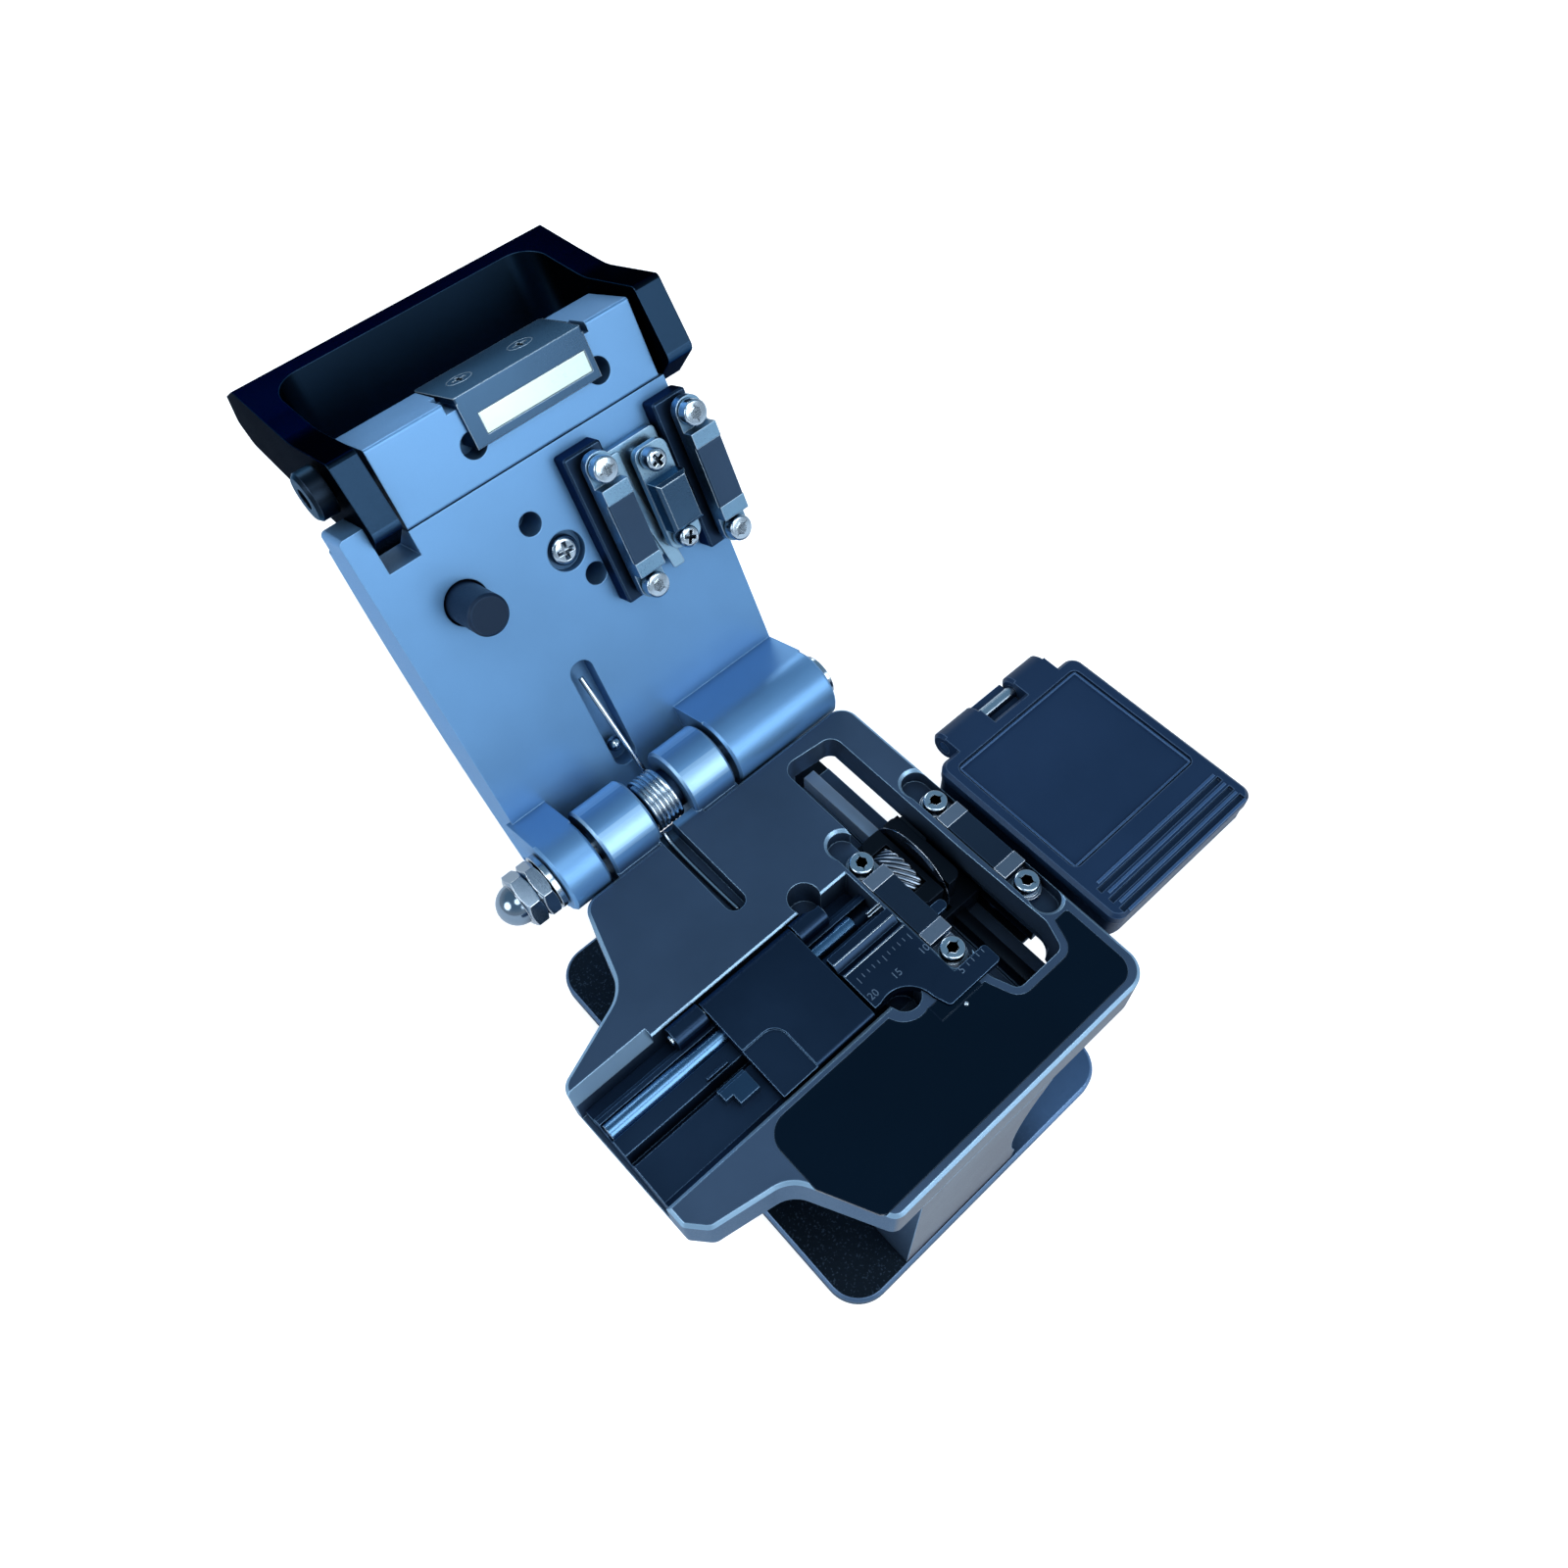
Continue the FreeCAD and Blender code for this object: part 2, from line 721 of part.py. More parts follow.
def make_lower_clamps():
    pads = []
    screws = []
    washers = []
    ear_top = clamp_floor + ear_thickness
    screw = cap_screw(clamp_head_radius, clamp_head_height, small_shank, 4.5, small_socket)
    for name, x in (("left", clamp_left), ("right", clamp_right)):
        half = clamp_width / 2
        export("lower_clamp_" + name, lower_clamp(x))
        pads.append(block((x - half + 0.1, x + half - 0.1), pad_span, (pad_top - 0.5, pad_top)))
        for y in clamp_ends:
            screws.append(moved(screw, x, y, ear_top + washer_thickness))
            washer = round_z(x, y, clamp_head_radius + 0.2, ear_top, ear_top + washer_thickness)
            washers.append(washer.cut(thin_z(x, y, small_shank, clamp_floor, deck_top)))
    export("lower_pads", pads)
    export("lower_clamp_screws", screws)
    export("clamp_seats", washers)
    # Round-nosed fibre rest that leans out over the pocket
    nose = [
        (clamp_left + clamp_width / 2, -12.8),
        (13.5, -12.8, 0.8),
        (13.5, -11.1, 0.8),
        (clamp_left + clamp_width / 2, -11.1),
    ]
    export("fibre_rest", slab(nose, pad_top - 1.5, pad_top - 0.2))


def make_blade():
    front = blade_rest_y - carriage_half_length
    rear = blade_rest_y + carriage_half_length
    low = block((8.8, 22.8), (front, rear), (carriage_bottom, flange_bottom - 0.4))
    low = low.makeChamfer(0.8, [edge for edge in low.Edges if abs(edge.BoundBox.ZMax - carriage_bottom) < 1e-4])
    neck = rounded_box((12.0, 20.2), (front + 2, rear - 2), (flange_bottom - 1, carriage_top), 1.5)
    carriage = low.fuse(neck)
    slot_half = blade_thickness / 2 + 0.3
    wheel_room = blade_radius + 0.4
    carriage = carriage.cut(
        round_x(blade_rest_y, blade_centre, wheel_room, blade_plane - slot_half, blade_plane + slot_half)
    )
    carriage = carriage.cut(
        round_x(blade_rest_y, blade_centre, dial_radius + 0.4, dial_left - open_gap, dial_right + 0.2)
    )
    carriage = carriage.cut(
        round_x(blade_rest_y, blade_centre, hub_radius + open_gap, dial_left, blade_plane)
    )
    carriage = carriage.cut(
        round_x(blade_rest_y, blade_centre, shaft_radius + running_fit, 11, 21)
    )
    head_room = round_x(blade_rest_y, blade_centre, 2.4, 19.1, 23.5)
    carriage = carriage.cut(head_room)
    carriage = carriage.cut(
        block(
            (rail_left - slide_fit, rail_right + slide_fit),
            (front - 1, rear + 1),
            (rail_bottom - slide_fit, rail_top + slide_fit),
        )
    )
    export("blade_carriage", carriage)
    # Ground disc with a bevel on both faces
    thick = blade_thickness / 2
    blade_section = [
        (shaft_radius, -thick),
        (blade_radius - 0.9, -thick),
        (blade_radius, 0),
        (blade_radius - 0.9, thick),
        (shaft_radius, thick),
    ]
    disc = Part.Face(wire_through(blade_section)).revolve(V(0, 0, 0), V(0, 1, 0), 360)
    disc.rotate(V(0, 0, 0), V(0, 0, 1), 90)
    export("blade_wheel", moved(disc, blade_plane, blade_rest_y, blade_centre))
    # Knurled dial that turns the blade to a fresh stretch of edge
    teeth = []
    for tooth in range(dial_teeth * 2):
        angle = math.pi * tooth / dial_teeth
        reach = dial_radius if tooth % 2 else dial_radius - 0.35
        teeth.append((reach * math.cos(angle), reach * math.sin(angle)))
    dial = slab_across(teeth, dial_left, blade_plane - thick)
    dial = dial.common(round_x(0, 0, dial_radius, dial_left, dial_right).fuse(
        round_x(0, 0, hub_radius, dial_right, blade_plane - thick)))
    dial = moved(dial, 0, blade_rest_y, blade_centre)
    dial = dial.cut(round_x(blade_rest_y, blade_centre, shaft_radius, 11, 21))
    export("blade_dial", dial)
    shaft = round_x(blade_rest_y, blade_centre, shaft_radius, dial_left + 0.2, 19.4)
    shaft = shaft.fuse(round_x(blade_rest_y, blade_centre, 2.2, 19.4, 20.6))
    export("blade_shaft", shaft)
    rail = block((rail_left, rail_right), (rail_front, rail_rear), (rail_bottom, rail_top))
    rail_middle = (rail_left + rail_right) / 2
    bed_bottom = rail_bottom - bed_thickness
    shank_length = bed_thickness + 2.0
    screw = turned(cap_screw(1.7, 1.5, small_shank, shank_length, small_socket), V(1, 0, 0), 180)
    screws = []
    for y in rail_screw_rows():
        screws.append(moved(screw, rail_middle, y, bed_bottom))
        rail = rail.cut(thin_z(rail_middle, y, small_shank, bed_bottom, bed_bottom + shank_length))
    export("blade_rail", rail)
    export("rail_screws", screws)


def rail_screw_rows():
    return (rail_front + 4.0, rail_rear - 4.0)


def bracket_screw_rows():
    return (-14.0, -4.0)


def make_scrap_box():
    # Bin whose front wall slopes in towards the bottom
    outside = [
        (box_front, box_rim),
        (box_front, box_rim - 3.0),
        (box_front + box_taper, box_bottom, 1.5),
        (box_rear, box_bottom, 1.5),
        (box_rear, box_rim),
    ]
    inside = [
        (box_front + box_wall, box_rim + 1),
        (box_front + box_wall, box_rim - 3.0),
        (box_front + box_taper + box_wall, box_bottom + box_wall),
        (box_rear - box_wall, box_bottom + box_wall),
        (box_rear - box_wall, box_rim + 1),
    ]
    corners = rounded_box((box_left, box_right), (box_front, box_rear), (box_bottom, box_rim), 2.0)
    box = slab_across(outside, box_left, box_right).common(corners)
    box = box.cut(slab_across(inside, box_left + box_wall, box_right - box_wall))
    # Lug behind the box that carries the lid's pin in an open channel
    pin_z = box_lid_top - box_barrel
    lug = [
        (box_rear - 0.5, pin_z - 6.0),
        (box_pin_y + 2.4, pin_z - 2.6, 1.0),
        (box_pin_y + 2.4, box_rim),
        (box_rear - 0.5, box_rim),
    ]
    box = box.fuse(slab_across(lug, box_window[0] + open_gap, box_window[1] - open_gap))
    box = box.cut(round_x(box_pin_y, pin_z, box_pin_radius, box_left, box_right))
    # Angle bracket between the flange and the box
    plate_low = flange_bottom - 2.4
    bracket = block((bracket_left, box_left), (-18.5, 0.5), (plate_low, flange_bottom))
    bracket = bracket.fuse(block((box_left - 2.0, box_left), (-18.5, 0.5), (box_bottom + 1, flange_bottom)))
    screws = []
    below = turned(cap_screw(1.8, 1.5, small_shank, 6.0, small_socket), V(1, 0, 0), 180)
    side = turned(cap_screw(1.6, 1.0, small_shank, 3.2, small_socket), V(0, 1, 0), -90)
    for y in bracket_screw_rows():
        bracket = bracket.cut(thin_z(bracket_screw_x, y, small_shank, plate_low - 1, flange_bottom + 1))
        screws.append(moved(below, bracket_screw_x, y, plate_low))
        hole = thin_x(y, box_bottom + 5, small_shank, box_left - 3, box_left + box_wall + 0.2)
        bracket = bracket.cut(hole)
        box = box.cut(hole)
        screws.append(moved(side, box_left - 2.0, y, box_bottom + 5))
    export("scrap_box", box)
    export("box_bracket", bracket)
    export("box_screws", screws)
    # Lid with a raised rim, a sunk panel and three finger grooves
    low = box_rim + open_gap
    lid = rounded_box(
        (box_left - 0.2, box_right + 0.2),
        (box_front - 0.2, box_rear + 0.1),
        (low, box_lid_top),
        2.0,
    )
    lid = bevel_rim(lid, box_lid_top, 0.6)
    sunk_front = box_front + 9.6
    sunk = rounded_box(
        (box_left + 1.8, box_right - 1.8),
        (sunk_front, box_rear - 2.0),
        (box_lid_top - 0.6, box_lid_top + 1),
        1.2,
    )
    lid = lid.cut(sunk)
    for y in (sunk_front - 4.6, sunk_front - 6.8, sunk_front - 9.0 + 0.2):
        groove = block(
            (box_left + 1.6, box_right - 1.6),
            (y - 0.45, y + 0.45),
            (box_lid_top - 0.6, box_lid_top + 1),
        )
        lid = lid.cut(groove)
    # Two long knuckles with the pin bare between them
    for left, right in ((box_knuckle_ends[0], box_window[0]), (box_window[1], box_knuckle_ends[1])):
        arm = [
            (box_rear - 1.5, low),
            (box_pin_y, pin_z - 0.4),
            (box_pin_y, box_lid_top),
            (box_rear - 1.5, box_lid_top),
        ]
        barrel = round_x(box_pin_y, pin_z, box_barrel, left, right)
        barrel = barrel.makeChamfer(0.5, [barrel.Edges[0], barrel.Edges[2]])
        lid = lid.fuse(slab_across(arm, left, right)).fuse(barrel)
    lid = lid.cut(round_x(box_pin_y, pin_z, box_pin_radius + running_fit, box_left, box_right))
    export("scrap_box_lid", lid)
    pin_ends = (box_knuckle_ends[0] + 0.1, box_knuckle_ends[1] - 0.1)
    export("scrap_lid_pin", round_x(box_pin_y, pin_z, box_pin_radius, pin_ends[0], pin_ends[1]))


def make_hinge():
    left_end = lid_knuckles[0][0]
    right_end = lid_knuckles[1][1]
    nut_right = left_end - 3.5
    pin = round_x(hinge_y, hinge_z, hinge_pin_radius, nut_right - 3.0, right_end + 0.3)
    head = round_x(hinge_y, hinge_z, 3.7, right_end + 0.3, right_end + 1.6)
    pin = pin.fuse(head)
    export("hinge_pin", pin)
    # Plain washer and thin lock nut
    washer = round_x(hinge_y, hinge_z, 4.6, left_end - 1.2, left_end - 0.3)
    hexagon = []
    reach = nut_size / math.sqrt(3)
    for side in range(6):
        angle = math.radians(60 * side + 12)
        hexagon.append((hinge_y + reach * math.cos(angle), hinge_z + reach * math.sin(angle)))
    lock_nut = slab_across(hexagon, nut_right, left_end - 1.2)
    bore = round_x(hinge_y, hinge_z, hinge_pin_radius, nut_right - 3.2, left_end)
    export("hinge_washer", washer.cut(bore))
    # Domed cap nut
    crown = slab_across(hexagon, nut_right - 2.6, nut_right)
    dome_section = [(0.1, 0.0), (0.1, 3.3), (-1.2, 3.1), (-2.3, 2.4), (-3.1, 1.2), (-3.3, 0.0)]
    dome = Part.Face(wire_through(dome_section)).revolve(V(0, 0, 0), V(1, 0, 0), 360)
    dome = moved(dome, nut_right - 2.6, hinge_y, hinge_z)
    export("hinge_nuts", [lock_nut.cut(bore), crown.fuse(dome).cut(bore)])
    # Sleeve and close-wound spring between the base knuckles
    sleeve = round_x(hinge_y, hinge_z, sleeve_radius, base_knuckles[0][1], base_knuckles[1][0])
    export("spring_sleeve", sleeve.cut(round_x(hinge_y, hinge_z, hinge_pin_radius, -20, 20)))


def make_spring():
    # Coils as one ridged body, with the leg that pushes on the lid
    length = spring_span[1] - spring_span[0]
    wire = length / spring_coils
    inner = sleeve_radius + running_fit
    section = [(spring_span[0], inner)]
    for coil in range(spring_coils):
        start = spring_span[0] + coil * wire
        section.append((start, spring_radius - wire / 2))
        section.append((start + wire / 2, spring_radius))
    section.append((spring_span[1], spring_radius - wire / 2))
    section.append((spring_span[1], inner))
    coils = Part.Face(wire_through(section)).revolve(V(0, 0, 0), V(1, 0, 0), 360)
    # The leg leaves the coils towards the front and lies in the lid's slot
    root = V(spring_span[1] - wire, 0, -spring_radius + wire / 2)
    tip = V(-5.2, 20.5, lid_face - 1.2)
    leg = Part.makeCylinder(wire / 2, (tip - root).Length, root, tip - root)
    export_lid("torsion_spring", coils.fuse(leg))


def lid_bore(x, u, radius, deep=lid_face - 6.0):
    make = thin_z if radius < 1.5 else round_z
    return make(x, u, radius, deep, lid_face + 3)


def make_lid_plate():
    outline = [
        (lid_left, lid_rear, 1.5),
        (lid_right, lid_rear, 1.5),
        (lid_right, lid_seam),
        (handle_left + 5.0, lid_seam),
        (handle_left + 5.0, arm_notch_rear),
        (handle_left, arm_notch_rear),
        (handle_left, strip_front),
        (lid_left, strip_front, 0.8),
    ]
    plate = slab(outline, lid_plate_back, lid_face)
    for left, right in lid_knuckles:
        shoulder = [
            (lid_rear - 0.2, lid_face - 1.0),
            (barrel_radius + 0.3, lid_face - 1.0),
            (barrel_radius, 0.0),
            (-barrel_radius, 0.0),
        ]
        left_edge = left
        plate = plate.fuse(slab_across(shoulder, left_edge, right))
        barrel = round_x(0, 0, barrel_radius, left_edge, right)
        barrel = barrel.makeChamfer(0.4, [barrel.Edges[0], barrel.Edges[2]])
        plate = plate.fuse(barrel)
    plate = plate.cut(round_x(0, 0, hinge_pin_radius + running_fit, -30, 30))
    # Room for the spring and its leg
    leg_slot = rounded_box((-7.0, -3.0), (3.0, 22.7), (lid_face - 3.2, lid_face + 1), 1.9)
    plate = plate.cut(leg_slot)
    # Bores for adjusting screws, plunger and the counterbored screw
    for x, u in ((-1.7, 44.5), (3.9, 32.9)):
        plate = plate.cut(lid_bore(x, u, 1.75))
    plate = plate.cut(lid_bore(lid_screw_x, lid_screw_u, 3.0, lid_face - 1.6))
    plate = plate.cut(lid_bore(lid_screw_x, lid_screw_u, 1.25))
    plate = plate.cut(lid_bore(plunger_x, plunger_u, plunger_radius + 0.35, lid_plate_back + 0.5))
    for x, u in fixed_screw_places():
        plate = plate.cut(lid_bore(x, u, small_shank))
    export_lid("lid_plate", plate)


def fixed_screw_places():
    # Threads in the lid plate for the clamp and anvil screws
    places = []
    for x in (upper_left, upper_right):
        for u in upper_ends:
            places.append((x, u))
    for u in anvil_ends:
        places.append((anvil_screw_x, u))
    return places


upper_left = 8.95
upper_right = 24.85
upper_ends = [hinge_y - clamp_ends[1], hinge_y - clamp_ends[0]]
upper_pad = (hinge_y - pad_span[1], hinge_y - pad_span[0])
upper_raised = (hinge_y - raised_span[1], hinge_y - raised_span[0])
upper_pad_face = hinge_z - pad_top - open_gap
clamp_block_face = -5.0
press_travel = 1.0
anvil_screw_x = 16.9
anvil_ends = [45.2, 32.7]
anvil_face = -0.6


def make_lid_cover():
    # Domed shell over the back of the lid, drawn as a side view swept across it
    half_dome = [
        V(lid_rear, lid_plate_back, 0),
        V(lid_rear, cover_rear, 0),
        V(24.0, cover_crown, 0),
        V(lid_seam, cover_front, 0),
        V(lid_seam, lid_plate_back, 0),
    ]
    edges = [
        Part.makeLine(half_dome[0], half_dome[1]),
        Part.Arc(half_dome[1], half_dome[2], half_dome[3]).toShape(),
        Part.makeLine(half_dome[3], half_dome[4]),
        Part.makeLine(half_dome[4], half_dome[0]),
    ]
    cover = Part.Face(Part.Wire(edges)).extrude(V(0, 0, lid_right - lid_left))
    cover.rotate(V(0, 0, 0), V(1, 1, 1), 120)
    cover.translate(V(lid_left, 0, 0))
    long_edges = []
    for edge in cover.Edges:
        box = edge.BoundBox
        if box.YLength > 40 and box.ZMin < cover_front - 1:
            long_edges.append(edge)
    cover = cover.makeFillet(1.8, long_edges)
    notch = block((handle_left, handle_left + 5.0), (arm_notch_rear, lid_seam + 1), (cover_crown - 2, lid_face))
    cover = cover.cut(notch)
    screws = []
    screw = turned(sunk_screw(2.2, 1.25, 6.0), V(1, 0, 0), 180)
    for x in (lid_left + 6, lid_right - 6):
        for u in (6.0, 44.0):
            top = cover_top(u)
            screws.append(moved(screw, x, u, top))
            cover = cover.cut(thin_z(x, u, 1.25, top, 0))
            cover = cover.cut(moved(Part.makeCone(2.2, 1.25, 0.95), x, u, top))
            cover = cover.cut(round_z(x, u, 2.2, top - 1, top))
    export_lid("lid_cover", cover)
    trimmed = [screw.cut(block((lid_left, lid_right), (0, 50), (lid_plate_back, 0))) for screw in screws]
    export_lid("cover_screws", trimmed)


def cover_top(u):
    # Height of the domed back at one place, from the circle through its three points
    chord = lid_seam - lid_rear
    share = (u - lid_rear) / chord
    straight = cover_rear + (cover_front - cover_rear) * share
    rise = cover_crown - (cover_rear + cover_front) / 2
    return straight + rise * 4 * share * (1 - share) + 0.25


def make_front_bar():
    side = [
        (lid_seam + 0.05, lid_face, 0.4),
        (lid_seam + 0.05, cover_front - 1.6, 2.0),
        (lid_seam + 4.9, bar_back, 3.0),
        (bar_front, bar_back + 2.0, 2.5),
        (bar_front, lid_face, 0.4),
    ]
    bar = slab_across(side, bar_left, bar_right)
    # Notch for the magnet holder, relieved at its corners
    notch_left = magnet_left - 3.7
    notch_right = magnet_right + 2.0
    holder_left = magnet_left - 2.2
    holder_right = magnet_right + 0.9
    tray_rear = magnet_rear - 1.2
    notch = block((holder_left, holder_right), (tray_rear - 0.1, bar_front + 1), (lid_face - 4.4, lid_face + 1))
    for x in (holder_left - 0.1, holder_right + 0.1):
        notch = notch.fuse(round_z(x, tray_rear + 0.7, 1.9, lid_face - 4.4, lid_face + 1))
    lip = block((notch_left, notch_right), (bar_front - 1.4, bar_front + 1), (lid_face - 4.4, lid_face + 1))
    face = block((holder_left - 0.6, holder_right + 0.6), (bar_front - 0.8, bar_front + 1), (-20.2, lid_face))
    notch = notch.fuse(lip).fuse(face)
    bar = bar.cut(notch)
    bores = round_x(pivot_u, pivot_v, pivot_radius, bar_left - 1, bar_left + 8)
    bores = bores.fuse(round_x(pivot_u, pivot_v, pivot_radius, bar_right - 8, bar_right + 1))
    bar = bar.cut(bores)
    # Holder: a tray for the magnet with a screwed flange on the bar's front
    tray = block((holder_left, holder_right), (tray_rear, bar_front - 0.8), (lid_face - 4.4, lid_face + 0.7))
    bed = block((magnet_left, magnet_right), (magnet_rear, magnet_front), (lid_face - 2.4, lid_face + 1))
    flange_corners = [
        (holder_left - 0.5, -20.1, 0.8),
        (holder_right + 0.5, -20.1, 0.8),
        (holder_right, lid_face + 0.7, 0.3),
        (holder_left, lid_face + 0.7, 0.3),
    ]
    flange = slab_along(flange_corners, bar_front - 0.8, bar_front + 0.1)
    holder = tray.cut(bed).fuse(flange)
    screws = []
    screw = turned(sunk_screw(1.9, small_shank, 5.0), V(1, 0, 0), -90)
    screw_places = (0.6, 10.6)
    for x in screw_places:
        placed = moved(screw, x, bar_front + 0.1, -14.0)
        screws.append(placed)
        sink = Part.makeCone(1.9, small_shank, 0.9, V(x, bar_front + 0.1, -14.0), V(0, -1, 0))
        holder = holder.cut(sink)
        holder = holder.cut(thin_y(x, -14.0, small_shank, bar_front - 9, bar_front + 1))
        bar = bar.cut(sink)
        bar = bar.cut(thin_y(x, -14.0, small_shank, bar_front - 5.0, bar_front + 1))
    export_lid("front_bar", bar)
    export_lid("magnet_holder", holder)
    export_lid("magnet_screws", screws)
    magnet = block((magnet_left, magnet_right), (magnet_rear, magnet_front), (lid_face - 2.4, lid_face + 0.6))
    export_lid("magnet", magnet)


def make_upper_clamps():
    bar_back_v = clamp_block_face + press_travel + open_gap
    ear_face = bar_back_v + 1.4
    head_back = ear_face + 0.2
    head_height = upper_pad_face - head_back
    screws = []
    springs = []
    for name, x, left, right in (
        ("left", upper_left, 5.5, 11.8),
        ("right", upper_right, 21.2, 27.0),
    ):
        half = clamp_width / 2
        base = rounded_box((left, right), (upper_ends[1] - 2.4, upper_ends[0] + 2.5), (lid_face, clamp_block_face), 0.5)
        base = bevel_rim(base, clamp_block_face, 0.3)
        bar_x = x + 0.15
        bar = rounded_box(
            (bar_x - half, bar_x + half),
            (upper_ends[1] - 2.2, upper_ends[0] + 2.2),
            (bar_back_v, ear_face),
            2.0,
        )
        bar = bar.fuse(block((bar_x - half, bar_x + half), upper_raised, (bar_back_v, upper_pad_face)))
        bar = bar.cut(block((bar_x - 3, bar_x + 3), upper_pad, (upper_pad_face - 0.5, 1)))
        pad = block((bar_x - half + 0.1, bar_x + half - 0.1), upper_pad, (upper_pad_face - 0.5, upper_pad_face))
        for u in upper_ends:
            # Shoulder screw: sleeve, head and thread in one piece
            shank = thin_z(0, 0, 1.3, clamp_block_face, head_back)
            screw = cap_screw(clamp_head_radius, head_height, 1.0, 0.1, small_socket)
            screw = moved(screw, 0, 0, head_back).fuse(shank)
            screw = screw.fuse(thin_z(0, 0, small_shank, lid_face - 3, clamp_block_face))
            screws.append(moved(screw, x, u, 0))
            base = base.cut(thin_z(x, u, small_shank, lid_face - 1, 0))
            bar = bar.cut(thin_z(x, u, 1.3 + running_fit, lid_face, 1))
        for u in (upper_ends[0] - 5.5, upper_ends[1] + 5.5):
            base = base.cut(thin_z(bar_x, u, 1.3, clamp_block_face - 2.2, clamp_block_face + 1))
            springs.append(thin_z(bar_x, u, 1.2, clamp_block_face - 2.2, bar_back_v - press_travel - 0.05))
        export_lid("upper_block_" + name, base)
        export_lid("upper_clamp_" + name, bar)
        export_lid("upper_pad_" + name, pad)
    export_lid("upper_clamp_screws", screws)
    springs.append(round_z(plunger_x, plunger_u, 2.2, lid_plate_back + 0.5, lid_plate_back + 1.6))
    springs.append(thin_z(anvil_screw_x + 1.0, 38.0, 1.2, lid_face, lid_face + 2.3))
    export_lid("press_springs", springs)


def make_anvil():
    plate_face = lid_face + 1.6
    bracket_corners = [
        (12.1, 30.2, 0.8),
        (20.9, 30.2, 0.8),
        (20.9, 48.0, 0.8),
        (12.1, 48.0, 0.8),
    ]
    bracket = slab(bracket_corners, lid_face, plate_face)
    bracket = bracket.cut(thin_z(anvil_screw_x + 1.0, 38.0, 1.3, lid_face - 1, plate_face + 1))
    leaf_corners = [
        (12.4, 47.4, 0.5),
        (12.4, 41.3, 1.0),
        (14.6, 29.0),
        (14.8, 27.4, 0.4),
        (16.8, 27.4, 0.4),
        (16.4, 30.8, 0.6),
        (15.0, 35.5),
        (14.1, 41.6),
        (14.1, 47.4, 0.5),
    ]
    leaf = slab(leaf_corners, plate_face, plate_face + 0.4)
    leaf = leaf.cut(round_z(anvil_screw_x, anvil_ends[1], 2.2, lid_face, 1))
    bar_back_v = plate_face + 0.4 + press_travel + open_gap
    holder_face = bar_back_v + 1.2
    holder = rounded_box((14.7, 20.3), (30.9, 47.0), (bar_back_v, holder_face), 1.5)
    head_back = holder_face + 0.2
    screws = []
    for u in anvil_ends:
        screw = moved(pan_screw(1.65, anvil_face - 0.4 - head_back, 1.2, 0.1), 0, 0, head_back)
        screw = screw.fuse(thin_z(0, 0, 1.2, plate_face, head_back))
        screw = screw.fuse(thin_z(0, 0, small_shank, lid_face - 3, plate_face))
        screws.append(moved(screw, anvil_screw_x, u, 0))
        holder = holder.cut(thin_z(anvil_screw_x, u, 1.2 + running_fit, lid_face, 1))
        bracket = bracket.cut(thin_z(anvil_screw_x, u, small_shank, lid_face - 1, 0))
    export_lid("anvil_bracket", bracket)
    export_lid("anvil_leaf", leaf)
    export_lid("anvil_screws", screws)
    export_lid("anvil_holder", holder)
    pad = block((14.9, 20.2), (34.4, 42.1), (holder_face, anvil_face))
    export_lid("anvil_pad", bevel_rim(pad, anvil_face, 0.5))


def make_lid_fittings():
    screw = pan_screw(2.25, 1.5, 1.25, 4.0)
    export_lid("lid_screw", moved(screw, lid_screw_x, lid_screw_u, lid_face - 1.6))
    back = lid_plate_back + 1.6 + plunger_travel + 0.1
    face = hinge_z - flap_top - open_gap
    plunger = round_z(plunger_x, plunger_u, plunger_radius, back, face)
    export_lid("lid_plunger", bevel_rim(plunger, face, 0.4))
    # Shouldered pivots that hold the handle's arms to the front bar
    pivots = []
    left_head = Part.makeCylinder(pivot_head_radius, pivot_head_height, V(handle_left - 0.2, pivot_u, pivot_v), V(-1, 0, 0))
    right_head = Part.makeCylinder(pivot_head_radius, 1.8, V(handle_right + 0.2, pivot_u, pivot_v), V(1, 0, 0))
    socket = round_x(pivot_u, pivot_v, 1.5, handle_left - 4, handle_left - 1.8)
    left_head = left_head.makeChamfer(0.5, [left_head.Edges[0]]).cut(socket)
    pivots.append(left_head.fuse(round_x(pivot_u, pivot_v, pivot_radius, handle_left - 0.3, bar_left + 7)))
    right_head = right_head.cut(round_x(pivot_u, pivot_v, 1.5, handle_right + 1.0, handle_right + 3))
    pivots.append(right_head.fuse(round_x(pivot_u, pivot_v, pivot_radius, bar_right - 7, handle_right + 0.3)))
    export_lid("pivot_screws", pivots)


def make_handle():
    # Side outline measured from the pivot
    reach = [
        (4.4, -7.0, 0.8),
        (5.3, -20.5, 12.0),
        (7.5, -27.2, 20.0),
        (10.9, -36.8, 0.8),
        (9.7, -41.8, 0.8),
        (5.3, -45.0, 1.5),
        (1.9, -43.6, 2.0),
        (-2.7, -33.0, 30.0),
        (-7.9, -17.8, 3.0),
        (-10.6, -12.0, 1.2),
        (-6.2, -5.0, 1.5),
    ]
    side = [(pivot_u + u, v, radius) for u, v, radius in reach]
    bail = slab_across(side, handle_left, handle_right)
    inner = [
        (arm_inner_left, 0.0),
        (arm_inner_left, handle_underside, 4.5),
        (arm_inner_right, handle_underside, 4.5),
        (arm_inner_right, 0.0),
    ]
    bail = bail.cut(slab_along(inner, 40, 80))
    bail = bail.cut(round_x(pivot_u, pivot_v, pivot_radius + running_fit, handle_left - 1, handle_right + 1))
    export_lid("handle", bail)


